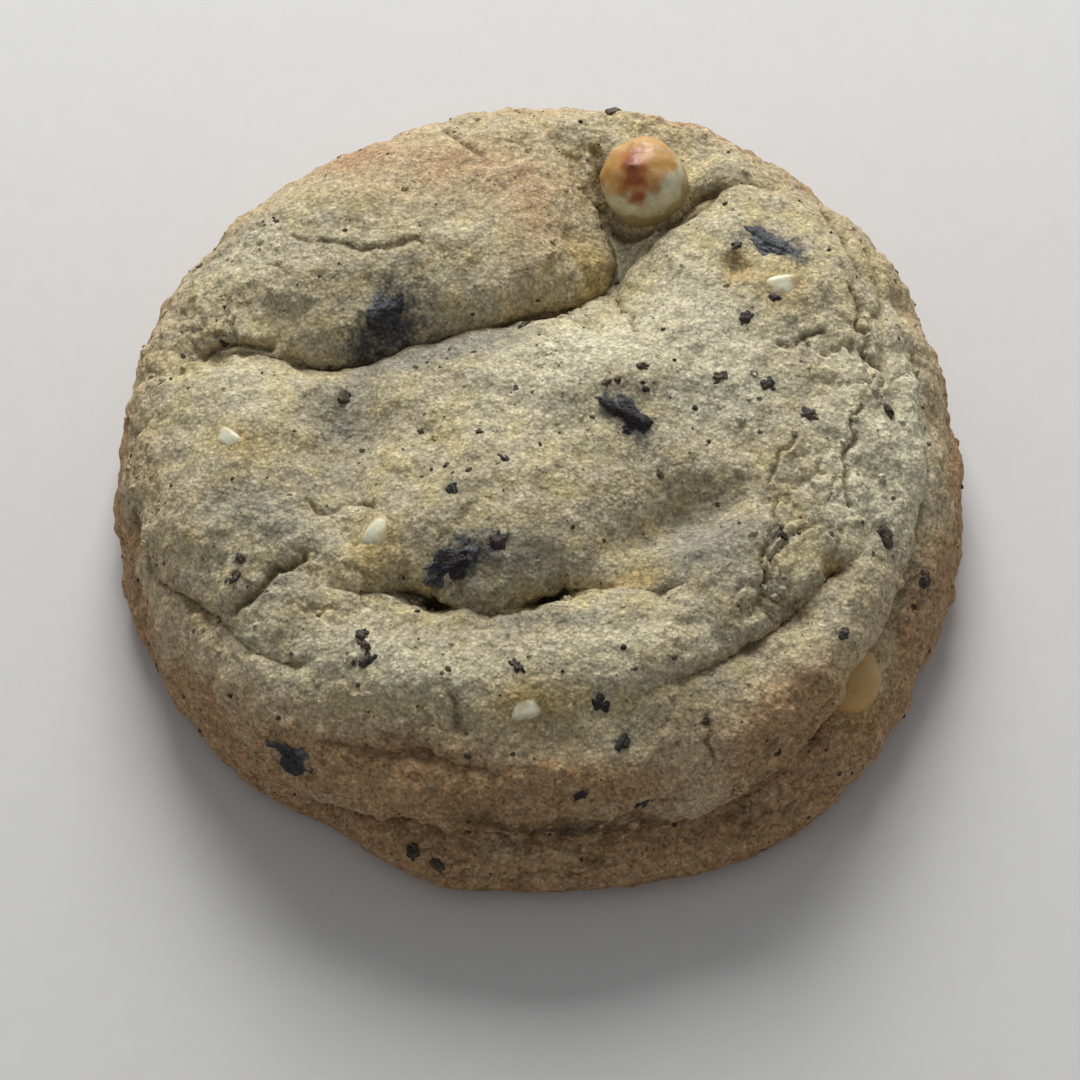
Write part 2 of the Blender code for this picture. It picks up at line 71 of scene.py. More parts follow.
# %% Camera
MM = 0.001
ELEVATION = math.radians(60)
LENS, SENSOR = 110, 36
DISTANCE = 0.35
AIM = Vector((0, -0.0087, 0.008))

camera_data = bpy.data.cameras.new("camera")
camera_data.lens, camera_data.sensor_width = LENS, SENSOR
camera_data.clip_start = 0.01
camera = bpy.data.objects.new("camera", camera_data)
towards_camera = Vector((0, -math.cos(ELEVATION), math.sin(ELEVATION)))
camera.location = AIM + DISTANCE * towards_camera
camera.rotation_euler = (-towards_camera).to_track_quat("-Z", "Y").to_euler()
bpy.context.scene.collection.objects.link(camera)
bpy.context.scene.camera = camera
print("the camera is at", [round(v, 3) for v in camera.location])

# %% [markdown]
# ## The plain body
# Under its folds a cookie is a turned body: a domed crown, a rounded side and a flat underside. A lathe
# profile could give it, but a real outline isn't a circle. So the profile is a smooth spline through
# stations, and each station follows the outline of the crown or of the foot, which bulge differently.
# Everything on the skin gets a place (u, v): millimetres across and along, measured over the surface from
# the middle of the crown, as if the skin were peeled off and laid flat. +v points to the back.

# %% Turned profile
# Each station: radius, height, and how far it follows the crown's outline (1) or the foot's (0).
STATIONS = [
    (0, 21.6, 1), (13, 21.6, 1), (25, 21.1, 1), (34, 19.8, 1), (40.8, 16.6, 1), (44.0, 12.2, 0.8),
    (44.9, 8.4, 0.5), (46.3, 5.2, 0), (46.2, 2.0, 0), (44.0, 0, 0), (41.0, 0, 0), (34.0, 0, 0),
    (22.0, 0, 0), (11.0, 0, 0), (0, 0, 0),
]
OUTLINE_RADIUS = 44.0
# Where the outline stands out from a circle: azimuth and half width in degrees, millimetres.
CROWN_BULGES = [
    (38, 26, 2.5), (82, 28, 1.4), (150, 30, 1.4), (-142, 20, 0.6), (-118, 12, 1.0), (-20, 24, -0.8),
]
FOOT_BULGES = [(-60, 14, 2.4), (-95, 16, 1.1), (-118, 8, -0.7), (0, 22, -0.7)]


def bulge(azimuth, bulges):
    """Millimetres that the outline stands out at each azimuth."""
    total = np.zeros_like(azimuth)
    for middle, half_width, amount in bulges:
        away = (azimuth - math.radians(middle) + math.pi) % (2 * math.pi) - math.pi
        total += amount * np.exp(-((away / math.radians(half_width)) ** 2))
    return total


def turned_point(steps, azimuth):
    """Points of the turned body: steps counts stations from the crown along a uniform cubic B-spline."""
    crown, foot = bulge(azimuth, CROWN_BULGES), bulge(azimuth, FOOT_BULGES)
    radii = [r * (1 + (share * crown + (1 - share) * foot) / OUTLINE_RADIUS) for r, _, share in STATIONS]
    heights = [z + 0 * azimuth for _, z, _ in STATIONS]
    radii, heights = np.stack([-radii[1], *radii, -radii[-2]]), np.stack([heights[1], *heights, heights[-2]])
    knot = np.clip(np.floor(steps).astype(int), 0, len(STATIONS) - 2)
    f = steps - knot
    weights = (1 - f) ** 3, 3 * f**3 - 6 * f**2 + 4, -3 * f**3 + 3 * f**2 + 3 * f + 1, f**3
    row = np.arange(len(steps))
    radius = sum(w / 6 * radii[knot + k, row] for k, w in enumerate(weights))
    height = sum(w / 6 * heights[knot + k, row] for k, w in enumerate(weights))
    return np.stack([radius * np.cos(azimuth), radius * np.sin(azimuth), height], 1)


# %% Arc length along the profile
UNDERSIDE_SHARE = 0.07  # of the skin's triangles: nobody looks at the underside closely
PROFILE_SAMPLES = 1500


def measure_profile():
    """Steps along the profile, with the arc length and the share of the skin's triangles up to each."""
    steps = np.linspace(0, len(STATIONS) - 1, PROFILE_SAMPLES)
    points = turned_point(steps, np.full(PROFILE_SAMPLES, math.pi))
    radius, height = -points[:, 0], points[:, 2]
    piece = np.hypot(np.diff(radius), np.diff(height))
    area = piece * (radius[1:] + radius[:-1]) / 2
    under = (height[1:] < 1e-6).astype(float)
    share = area * (1 - under) / (area * (1 - under)).sum() * (1 - UNDERSIDE_SHARE)
    share += area * under / (area * under).sum() * UNDERSIDE_SHARE
    return steps, np.concatenate([[0], np.cumsum(piece)]), np.concatenate([[0], np.cumsum(share)])


STEPS, LENGTHS, SHARES = measure_profile()
SIDE_END, FLAT_START = (float(LENGTHS[np.searchsorted(STEPS, station)]) for station in (8, 9))
print("from the crown's middle to the foot it is", round(SIDE_END, 1), "mm over the skin")

# %% [markdown]
# ## Lumps and hollows
# Pressed dough has broad soft forms: the big lobe at the back left, the ridge across the middle, the band in
# front. Sculpting brushes would do it by hand. A list of round hills and dips, each an elongated bell
# curve, does the same in a way that can be read and changed.

# %% Lumps and hollows
# u, v, half length, half width, turn in degrees, height.
MOUNDS = [
    (-17, 23, 15, 11, 15, 2.2), (-7, 17, 9, 5, 15, 0.9),  # the big lobe and its front shoulder
    (7.2, 21.5, 8.5, 4.2, 98, -5.4), (11.5, 28.5, 6.0, 5.5, 0, -2.6),  # the torn hollow, the chip's seat
    (12, 38, 10, 3.6, -10, 1.3), (19.5, 30.5, 4.0, 3.6, 0, 1.2), (25, 16, 8, 7, 0, 1.3),  # the rim round it
    (7, 3, 12, 6, 12, 2.0), (-4, -11, 12, 8, 20, 2.2),  # the middle ridge, down to its torn lip
    (-20, -4, 3.6, 10, -5, -2.5),  # the soft valley left of the ridge
    (-31, -3, 7, 8, 20, 1.1), (-33, -14, 7, 5, -30, 1.1),  # the left lobe
    (13, -14.5, 9, 3.1, 30, -3.0), (17, -20, 9, 4.6, 20, 1.1),  # the valley right of the ridge and beyond
    (30, -4, 7, 12, 0, 0.6),
    (-14, -31, 12, 4.5, -14, 1.5), (8, -30, 10, 4.5, 8, 1.6),  # the band in front of the lip
    (25, -34, 11, 4, 42, 1.5), (-28, -34, 8, 5, -38, 1.0),
    (0, -43.5, 12, 3.2, 2, 1.3), (-16, -42.5, 6, 3.0, -12, 0.6),  # the front edge of the upper layer
    (-14, -55, 9, 3.0, -14, 0.7), (17, -56, 10, 3.0, 16, 0.9), (38, -38, 8, 3.5, 44, 0.9),
    (50, -10, 3.5, 12, -12, 0.9),
    (39, 12, 3.4, 2.2, 70, 0.8), (37, 20, 3.0, 2.2, 60, 0.7), (40, 4, 3.2, 2.0, 85, 0.7),  # shoulder knobs
    (-10.8, -21.8, 2.6, 1.6, -8, -3.8), (0.8, -21.6, 3.2, 1.6, 8, -3.8),  # the dark mouths under the lip
    (19.6, 16.2, 1.1, 1.6, 10, -1.6), (30.8, -18.5, 1.3, 1.0, 30, -1.2),  # pits where crumbs fell out
    (10, -19.6, 3.0, 1.2, 4, -0.9),  # the shallow ledge beside the lip
]


def hills(uv, rows):
    """Sum of the bell-shaped hills in rows, at each place of uv."""
    total = np.zeros(len(uv))
    for u, v, half_length, half_width, turn, height in rows:
        c, s = math.cos(math.radians(turn)), math.sin(math.radians(turn))
        x, y = uv[:, 0] - u, uv[:, 1] - v
        a, b = (x * c + y * s) / half_length, (y * c - x * s) / half_width
        total += height * np.exp(-(a**2 + b**2))
    return total


print(len(MOUNDS), "lumps and hollows, the highest", max(row[-1] for row in MOUNDS), "mm")

# %% [markdown]
# ## Folds
# Where the dough was torn and pressed back, one side stands over the other like a small cliff, and its edge
# hangs over the dark line between them. A height map can't do that, because it has no overhang. So each
# fold is a line on the skin that both lowers the skin near it and slides the standing side across the line.

# %% Folds
# line: u, v, depth share. The dough on the left of the line stands over the dough on its right.
# drop: depth. wall: width of the standing side. reach: width of the lower side.
# lean: how far the standing side hangs over the line. ragged: how unevenly it does.
FOLDS = {
    "upper_left": dict(
        line=[
            (-42, 10.5, 0), (-36.5, 8.8, 0.3), (-31.5, 8.8, 0.45), (-27, 7.6, 0.5), (-22.5, 7.6, 0.85),
            (-18, 8.8, 1), (-13.5, 10.4, 1), (-8.5, 11.6, 0.9), (-3.5, 12.8, 0.85), (1.5, 14.4, 0.85),
            (4.6, 16.6, 0.7), (6.2, 19, 0),
        ],
        drop=6.4, wall=8.5, reach=3.0, lean=2.8, ragged=0.35,
    ),
    "cliff": dict(
        line=[
            (6.6, 16.6, 0), (6.4, 19.6, 0.9), (5.6, 23, 1), (4.2, 27, 1), (3.2, 31, 0.8), (1.4, 36, 0.5),
            (-1.4, 42, 0.35), (-2, 47, 0),
        ],
        drop=3.6, wall=2.8, reach=2.0, lean=2.2, ragged=0.6,
    ),
    "chip_ledge": dict(
        line=[
            (26, 29.5, 0), (21, 28.6, 0.7), (16.8, 25.4, 1), (12.8, 22.0, 1), (9.6, 19.0, 0.9),
            (8.4, 16.0, 0.6), (8.6, 12.8, 0.5), (6.4, 10.4, 0),
        ],
        drop=2.2, wall=2.6, reach=1.6, lean=1.1, ragged=0.5,
    ),
    "torn_lip": dict(
        line=[
            (-23, -21, 0), (-19, -21.2, 0.3), (-15.5, -20.8, 0.5), (-12.8, -19.8, 0.9), (-10.2, -19.6, 1),
            (-7.6, -21.2, 1), (-5, -22.4, 1), (-2.4, -21.4, 1), (0, -19.8, 1), (2.6, -19.2, 0.9),
            (5.4, -20.2, 0.55), (9.5, -21.8, 0.35), (13.5, -21.8, 0.3), (16.5, -20.6, 0),
        ],
        drop=4.8, wall=3.4, reach=1.8, lean=2.8, ragged=0.7,
    ),
    "right_crease": dict(
        line=[
            (8, -34.4, 0), (12, -32.6, 0.4), (16, -30.8, 0.7), (19.5, -28.8, 0.9), (23.5, -26.2, 1),
            (27, -23.2, 1), (30.5, -19.8, 0.8), (34.5, -16.4, 0.3), (36.5, -11, 0),
        ],
        drop=2.1, wall=3.4, reach=1.6, lean=1.0, ragged=0.6,
    ),
    "left_crease": dict(
        line=[
            (-47, -3, 0), (-46.5, -9, 0.8), (-43, -15.2, 1), (-38.5, -19.6, 0.9), (-35, -21.8, 1),
            (-32.4, -24.4, 0.6), (-29.2, -27.2, 0.6), (-25.5, -28.6, 0.7), (-22, -29, 0),
        ],
        drop=2.2, wall=2.8, reach=1.5, lean=1.3, ragged=0.6,
    ),
    "front_crack": dict(
        line=[
            (-27, -33, 0), (-23, -36.2, 0.6), (-19, -37.6, 0.8), (-15.6, -38.6, 1), (-12, -39.0, 0.8),
            (-9, -40.2, 1), (-6, -41, 0.7), (-3, -42, 0),
        ],
        drop=1.1, wall=1.6, reach=1.0, lean=0.4, ragged=0.5,
    ),
    "waist": dict(
        line=[
            (-30, -45.6, 0), (-24, -46.2, 0.8), (-18.5, -46.8, 0.95), (-14, -47.4, 0.85), (-9, -47.7, 1),
            (-2, -48.4, 1), (5, -48.9, 1), (11, -48.4, 0.95), (17, -46.8, 0.8), (22.5, -44.2, 0.7),
            (27.5, -40.6, 0.6), (32.0, -35.6, 0.65), (35.0, -29.6, 0.75), (39.0, -24.4, 0.6),
            (41.8, -17.5, 0.5), (43, -9, 0.5), (42.6, 1, 0.4), (40.6, 11, 0.3), (37.5, 20, 0.2),
            (33, 28, 0),
        ],
        drop=5.0, wall=4.4, reach=2.4, lean=2.6, ragged=0.22,
    ),
    "front_step": dict(
        line=[(5, -47.0, 0), (10, -46.4, 0.8), (15.5, -45.2, 1), (20.5, -42.8, 0.7), (25, -39.6, 0)],
        drop=0.8, wall=1.8, reach=1.0, lean=0.6, ragged=0.5,
    ),
    "shoulder": dict(
        line=[(32, 25, 0), (35.2, 19.4, 0.8), (36.4, 13.6, 1), (36.8, 8, 1), (38.2, 2, 0.7), (37.6, -4, 0)],
        drop=1.0, wall=2.0, reach=1.2, lean=0.5, ragged=0.6,
    ),
}
FOLD_STEPS = 6  # straight pieces between two points of a fold's line


def smooth_line(points):
    """A line as short straight pieces, on a Catmull-Rom curve through its points."""
    p = np.array([points[0], *points, points[-1]], float)
    out = []
    for i in range(1, len(p) - 2):
        for f in np.arange(FOLD_STEPS) / FOLD_STEPS:
            a, b, c, d = p[i - 1], p[i], p[i + 1], p[i + 2]
            bend, twist = 2 * a - 5 * b + 4 * c - d, 3 * b - a - 3 * c + d
            out.append(0.5 * (2 * b + (c - a) * f + bend * f**2 + twist * f**3))
    return np.array([*out, p[-1]])


def beside_line(uv, line):
    """The distance to the line, positive on its left, the way to its left and the share there."""
    best = np.full(len(uv), 1e9)
    away, share = np.zeros((len(uv), 2)), np.zeros(len(uv))
    left = np.zeros(len(uv))
    for a, b in zip(line[:-1], line[1:]):
        along = b[:2] - a[:2]
        f = np.clip(((uv - a[:2]) @ along) / (along @ along), 0, 1)
        to = uv - (a[:2] + f[:, None] * along)
        distance = np.hypot(to[:, 0], to[:, 1])
        nearer = distance < best
        best[nearer] = distance[nearer]
        away[nearer] = to[nearer] / (distance[nearer, None] + 1e-9)
        share[nearer] = (a[2] + f * (b[2] - a[2]))[nearer]
        left[nearer] = np.sign(along[0] * to[:, 1] - along[1] * to[:, 0])[nearer]
    return best * left, away * left[:, None], np.clip(share, 0, 1)


def near_line(uv, line, reach):
    """Which skin places lie within reach of the line's box."""
    low, high = line[:, :2].min(0) - reach, line[:, :2].max(0) + reach
    return np.nonzero(((uv > low) & (uv < high)).all(1))[0]


def fold_shift(uv, unevenness, line, drop, wall, reach, lean, ragged):
    """Lift along the skin's normal and slide over the skin that a fold gives each place."""
    distance, leftward, share = beside_line(uv, line)
    lean = lean * (1 + ragged * unevenness)
    on_wall = np.clip(distance / wall, 0, 1)
    standing = 1 - np.sin(on_wall * math.pi / 2)
    lower = np.exp(-np.maximum(-distance, 0) / reach)
    lift = -drop * share * np.where(distance > 0, standing, lower)
    slide = -lean * share * np.where(distance > 0, np.sin(math.pi * on_wall**0.7), 0)
    return lift, slide[:, None] * leftward, distance, share


print(len(FOLDS), "folds, the deepest", max(fold["drop"] for fold in FOLDS.values()), "mm")

# %% [markdown]
# ## The skin
# An even ball of triangles is laid over the body: a place on the ball becomes a length along the profile, so
# that every triangle covers about the same area, a third of a millimetre across. A UV sphere would waste its
# triangles at the pole. The lumps and folds then move each vertex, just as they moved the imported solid.

# %% Skin form
LUMP_SIZE, LUMP_HEIGHT = 9.0, 0.42
GRAIN_SIZE, GRAIN_HEIGHT = 3.2, 0.2
RAGGED_SIZE = 3.6
FOLD_REACH = 14  # millimetres from a line beyond which its fold does nothing that shows
# A fold's crevice shade is painted: full at the line of a fold this deep, fading over this width.
DARK_DROP, DARK_WIDTH = 2.5, 1.1  # a fold this deep is fully dark at its line, and fades over this width
SEED = 11
noise.seed_set(SEED)  # without it, noise_vector's offsets come from the clock


def noise_at(points, size, seed=SEED):
    """Smooth noise from about -1 to 1 for each point, with features of that size."""
    shift = Vector((seed, 2 * seed, -seed))
    return np.array([noise.noise(Vector(p) / size + shift) for p in points])


def smooth_step(low, high, value):
    x = np.clip((value - low) / (high - low), 0, 1)
    return x * x * (3 - 2 * x)


def skin_frame(steps, azimuth):
    """Normal, outward and sideways directions of the plain turned body."""
    small, top = 1e-3, len(STATIONS) - 1
    after, before = np.minimum(steps + small, top), np.maximum(steps - small, 0)
    outward = turned_point(after, azimuth) - turned_point(before, azimuth)
    outward /= np.linalg.norm(outward, axis=1)[:, None]
    sideways = np.stack([-np.sin(azimuth), np.cos(azimuth), 0 * azimuth], 1)
    return np.cross(outward, sideways), outward, sideways


def dough_skin(uv):
    """Skin points in millimetres at (u, v), and how deep in a crevice each is, 0 to 1, for amber and painted
    shade.
    """
    length, azimuth = np.hypot(uv[:, 0], uv[:, 1]), np.arctan2(uv[:, 1], uv[:, 0])
    steps = np.interp(length, LENGTHS, STEPS)
    points = turned_point(steps, azimuth)
    normal, outward, sideways = skin_frame(steps, azimuth)
    lift, slide, crevice_tone_and_shade = hills(uv, MOUNDS), np.zeros_like(uv), np.zeros(len(uv))
    unevenness = noise_at(points, RAGGED_SIZE)
    for fold in FOLDS.values():
        fold = {**fold, "line": smooth_line(fold["line"])}
        near = near_line(uv, fold["line"], FOLD_REACH)
        more_lift, more_slide, distance, share = fold_shift(uv[near], unevenness[near], **fold)
        lift[near] += more_lift
        slide[near] += more_slide
        depth = share * np.minimum(fold["drop"] / DARK_DROP, 1) * np.exp(-np.abs(distance) / DARK_WIDTH)
        crevice_tone_and_shade[near] = np.maximum(crevice_tone_and_shade[near], depth)
    lift += LUMP_HEIGHT * noise_at(points, LUMP_SIZE) + GRAIN_HEIGHT * noise_at(points, GRAIN_SIZE)
    relief = (1 - smooth_step(SIDE_END - 2, FLAT_START - 1, length))[:, None]  # none on the underside
    out_slide = slide[:, 0] * np.cos(azimuth) + slide[:, 1] * np.sin(azimuth)
    side_slide = slide[:, 1] * np.cos(azimuth) - slide[:, 0] * np.sin(azimuth)
    moved = normal * lift[:, None] + outward * out_slide[:, None] + sideways * side_slide[:, None]
    points = points + relief * moved
    points[:, 2] = np.maximum(points[:, 2], 0)
    return points, crevice_tone_and_shade


# %% Lay the ball over the body
SKIN_SUBDIVISIONS = 8  # 20 x 4^7 triangles


def ball_to_skin(directions):
    """Skin places for the points of a ball, so that its triangles spread evenly over the cookie."""
    share = (1 - np.clip(directions[:, 2], -1, 1)) / 2
    length = np.interp(share, SHARES, LENGTHS)
    azimuth = np.arctan2(directions[:, 1], directions[:, 0])
    return np.stack([length * np.cos(azimuth), length * np.sin(azimuth)], 1)


def get_all(items, name, width):
    values = np.empty(len(items) * width, np.float32)
    items.foreach_get(name, values)
    return values.reshape(-1, width).astype(float)


def to_mesh(shape, name):
    """A finished bmesh, in millimetres, as a smooth mesh in metres."""
    bmesh.ops.scale(shape, vec=(MM, MM, MM), verts=shape.verts)
    mesh = bpy.data.meshes.new(name)
    shape.to_mesh(mesh)
    shape.free()
    mesh.shade_smooth()
    return mesh


def hold_in_box(mesh):
    """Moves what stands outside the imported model's box onto its faces."""
    places = np.clip(get_all(mesh.vertices, "co", 3), np.array(cad_low), np.array(cad_high))
    mesh.vertices.foreach_set("co", places.astype(np.float32).ravel())


def add_piece(mesh, name, slot, *replaced):
    """Puts a mesh into the scene as a piece of the cookie."""
    hold_in_box(mesh)
    piece = bpy.data.objects.new(name, mesh)
    bpy.context.scene.collection.objects.link(piece)
    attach(piece, "root")
    if replaced:
        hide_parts(*replaced)
    return piece


ball = bmesh.new()
bmesh.ops.create_icosphere(ball, subdivisions=SKIN_SUBDIVISIONS, radius=1)
dough_mesh = bpy.data.meshes.new("cookie_dough")
ball.to_mesh(dough_mesh)
ball.free()
directions = get_all(dough_mesh.vertices, "co", 3)
skin_uv = ball_to_skin(directions / np.linalg.norm(directions, axis=1)[:, None])
skin_points, crevice_tone_and_shade = dough_skin(skin_uv)
dough_mesh.vertices.foreach_set("co", (skin_points * MM).astype(np.float32).ravel())
dough_mesh.update()
print(len(skin_points), "vertices laid over the cookie")

# %% [markdown]
# ## Crags, cracks and pits
# Close up, baked dough is a crust of sandy lumps with thin cracks between them, rough along the tears and on
# the shoulder and smoother on the big lobe. Crumbs of a millimetre or more are modelled, because their
# shadows show. Noise gives the lumps, the borders of a warped Voronoi pattern give the cracks, and a few
# long cracks follow lines of their own. The finest sand is left to the material's bump.

# %% Where the dough is rough
# Rows as in MOUNDS, with roughness in place of height.
ROUGH = [
    (36, 8, 5, 14, 0, 0.6), (32, -10, 7, 9, 0, 0.5), (24, -14, 6, 8, 0, 0.4), (-24, -20, 9, 5, -20, 0.6),
    (-34, -22, 8, 4, -40, 0.9), (-14, -37, 14, 4, -15, 0.8), (-2, -22, 14, 4, 0, 0.6), (4, 16, 5, 8, 0, 0.6),
    (-33, 11, 9, 5, 0, 0.9), (-30, 18, 6, 5, 0, 0.4), (16, 6, 7, 5, 0, 0.3), (29, 8, 6, 6, 0, 0.6),
    (-5, 34, 7, 5, 0, 0.5), (24, -22, 9, 3, 35, 0.7), (20, 34, 9, 5, -30, 0.4), (-43, 2, 4, 9, 0, 0.5),
    (0, -46, 24, 3.5, 0, 0.6), (26, -39, 9, 3.5, 45, 0.6), (-26, -42, 8, 4, -35, 0.5),
]
# Long thin cracks: points (u, v), width and depth.
CRACKS = [
    ([(-26.0, 21.0), (-23.5, 19.6), (-21.4, 19.4), (-19.0, 18.4), (-16.6, 18.2), (-14.0, 19.2),
      (-12.4, 19.3)], 0.25, 0.45),
    ([(-28.8, 17.8), (-27.6, 17.4), (-26.2, 15.8)], 0.25, 0.4),
    ([(-10.6, 38.1), (-9.2, 36.6), (-8.4, 34.8), (-6.3, 32.3)], 0.35, 0.7),
    ([(27.0, -4.0), (26.2, -5.6), (25.2, -6.2), (24.8, -8.3), (24.2, -9.5)], 0.25, 0.5),
    ([(25.0, -11.4), (24.6, -13.2), (25.1, -15.2), (23.6, -17.3), (22.8, -19.1), (23.3, -21.3),
      (22.4, -23.4)], 0.25, 0.5),
    ([(16.9, -35.4), (17.4, -37.0), (17.0, -38.0), (18.1, -39.4)], 0.3, 0.5),
    ([(-8.8, -33.6), (-8.4, -35.0), (-8.6, -36.0), (-7.6, -37.6)], 0.3, 0.5),
    ([(-23.9, -11.3), (-22.6, -12.6), (-21.0, -12.2), (-19.2, -11.2), (-17.1, -12.5)], 0.25, 0.35),
    ([(9.0, 12.4), (9.8, 11.2), (9.2, 9.8), (9.8, 8.6)], 0.25, 0.5),
    ([(24.6, 7.2), (26.0, 6.8), (27.2, 8.0), (29.4, 9.3)], 0.3, 0.5),
    ([(32.0, 15.0), (33.6, 13.0), (33.2, 11.0), (34.8, 9.4), (34.4, 7.6), (36.4, 6.0)], 0.4, 0.7),
    ([(34.3, 0.6), (33.0, -1.4), (33.5, -3.6), (32.4, -5.4), (32.9, -7.3), (32.3, -9.4),
      (33.0, -11.6)], 0.3, 0.5),
    ([(-24.0, -17.8), (-25.6, -18.9), (-26.9, -18.7), (-28.0, -20.4), (-29.4, -21.6),
      (-31.1, -22.4)], 0.45, 0.9),
    ([(6.0, 34.6), (6.4, 33.4), (6.3, 31.4)], 0.9, 1.3),
    ([(7.0, 31.6), (6.7, 28.9), (7.6, 26.4), (9.8, 24.8), (12.4, 24.4), (14.9, 25.2),
      (16.6, 27.2), (18.8, 28.2)], 0.7, 1.1),
    ([(30.0, 26.0), (31.8, 22.6), (32.2, 19.6), (33.6, 17.6)], 0.4, 0.6),
    ([(-36.0, 9.6), (-33.6, 10.6), (-31.0, 10.0), (-28.4, 9.4)], 0.5, 0.9),
]


def line_distance(uv, points):
    """Distance to a cracked line, only for the places near it: their numbers and their distances."""
    line = smooth_line([(u, v, 1) for u, v in points])
    near = near_line(uv, line, 3)
    return near, np.abs(beside_line(uv[near], line)[0])


length_on_skin = np.hypot(skin_uv[:, 0], skin_uv[:, 1])
side = smooth_step(40, 47, length_on_skin)
rough = np.clip(0.22 + hills(skin_uv, ROUGH) + 0.35 * side, 0, 1.15)
print("roughest", round(float(rough.max()), 2), "with", len(CRACKS), "long cracks")

# %% Crags and cracks in the mesh
# Layers of noise: height, size, seed. The billows only stand up, like knobs of dough pressed together.
CRAGS = [(0.70, 4.8, 11), (0.32, 2.1, 7)]
BILLOWS = [(0.34, 1.5, 13), (0.26, 2.6, 33)]
BILLOW_MIDDLE = 0.14
KNOB_SHARE, KNOB_HEIGHT = 0.10, 0.6  # only where the noise is above this share does a knob stand out
CRACK_CELL = 5.0  # millimetres between the fine cracks
CRACK_WIDTH, CRACK_DEPTH = 0.20, 0.35


def crack_borders(points, cell, seed):
    """How far each point is, in millimetres, from the nearest border of a warped Voronoi pattern."""
    shift, out = Vector((seed, -seed, 2 * seed)), np.empty(len(points))
    for k, p in enumerate(points):
        q = Vector(p) / cell + shift
        q += 0.30 * noise.noise_vector(q * 1.9) + 0.12 * noise.noise_vector(q * 6.1)
        nearest = noise.voronoi(q)[0]
        out[k] = (nearest[1] - nearest[0]) * cell / 2
    return out


def crag_height(points, uv):
    """Millimetres that the crags stand proud, and how cracked each place is, from 0 to 1, for painted shade.
    """
    wiggle = np.stack([noise_at(points, 1.3, 3), noise_at(points, 1.3, 5)], 1) * 0.35
    crags = sum(height * noise_at(points, size, seed) for height, size, seed in CRAGS)
    billows = sum(height * np.abs(noise_at(points, size, seed)) for height, size, seed in BILLOWS)
    crags += billows - BILLOW_MIDDLE
    knobs = np.maximum(noise_at(points, 1.7, 17) - KNOB_SHARE, 0) * KNOB_HEIGHT
    patchy = smooth_step(-0.15, 0.35, noise_at(points, 11, 19) + 0.9 * rough - 0.45)
    fine = np.exp(-((crack_borders(points, CRACK_CELL, 23) / CRACK_WIDTH) ** 2)) * patchy
    height = crags * (0.7 + 0.45 * rough) + knobs * rough - CRACK_DEPTH * fine * (0.35 + 0.65 * rough)
    # How much painted shade each crack gets in the dough's colour.
    crack_shade = 0.7 * fine
    for line, width, depth in CRACKS:
        near, distance = line_distance(uv + wiggle, line)
        groove = np.exp(-((distance / width) ** 2))
        height[near] -= depth * groove
        crack_shade[near] = np.maximum(crack_shade[near], groove)
    return height, np.clip(crack_shade, 0, 1)


# Round the half-hidden chips the crust is smooth, and so high that only a sliver shows.
NEAR_CHIPS = [
    (-32.3, -3.9, 3.0, 2.0, 50, 1), (-16.5, -15.8, 3.0, 2.0, -28, 1), (-1.5, -35.3, 3.0, 2.0, 10, 1),
    (24.5, 13.8, 3.2, 2.0, 10, 1),
]
LEVEL_NEAR_CHIPS = 0.16
crags, crack_shade = crag_height(skin_points, skin_uv)
near_chip = np.minimum(hills(skin_uv, NEAR_CHIPS), 1)
crags -= near_chip * (crags - LEVEL_NEAR_CHIPS)
crags -= side * (0.25 + 0.45 * np.maximum(noise_at(skin_points, 3.4, 21), 0))  # the side is sunken and pitted
crags *= 1 - smooth_step(SIDE_END - 3, FLAT_START, length_on_skin)
normals = get_all(dough_mesh.vertex_normals, "vector", 3)
rough_points = skin_points + normals * crags[:, None]
rough_points = np.clip(rough_points, np.array(cad_low) / MM, np.array(cad_high) / MM)
dough_mesh.vertices.foreach_set("co", (rough_points * MM).astype(np.float32).ravel())
dough_mesh.shade_smooth()
dough_mesh.update()
print("crags from", round(float(crags.min()), 2), "to", round(float(crags.max()), 2), "mm")

# %% [markdown]
# ## Where the colours lie
# An oven browns what stands out: the rim, the shoulder and most of all the foot, which lay on the tray. The
# middle stays pale and greyish, because dark dust is mixed into the dough, and it is bluish round every
# scrap of dark biscuit. Butter and chocolate leave amber halos. The grey spots also hold painted shade in the
# torn hollow, the valleys and the faces turned from the lamp, and the pale spots hold painted light on lit
# ridges and rims. Painting these by hand would be as good. Here each tint is a list of soft spots on the
# skin, kept in the mesh as colour attributes.

# %% Tint spots
# Rows as in MOUNDS, with the tint's strength in place of height.
BROWN = [
    (-8, 30, 14, 8, 0, 0.75), (0, 22, 5, 7, 0, 0.55), (-20, 34, 12, 7, 30, 0.4), (14, 40, 12, 4, -12, 0.6),
    (28, 30, 8, 8, -45, 0.35), (4, -42, 10, 3, 2, 0.55), (30, -34, 8, 5, 45, 0.4),
    (-26, -38, 8, 4, -35, 0.4), (-40, -8, 4, 8, 15, 0.3), (42, 16, 4, 12, 20, 0.2),
    (8, -36, 12, 3, 5, 0.25), (-15, -40.5, 10, 4, -10, 0.85), (-19, -13.5, 1.6, 1.2, 0, 0.5),
    (24, -35, 9, 5, 40, 0.6), (0, -43, 12, 3.5, 0, 0.35), (-14, -37, 8, 3, -12, 0.3),
    (42, -3, 5, 12, 0, -0.35), (-42, -9, 4, 8, 0, -0.3),
]
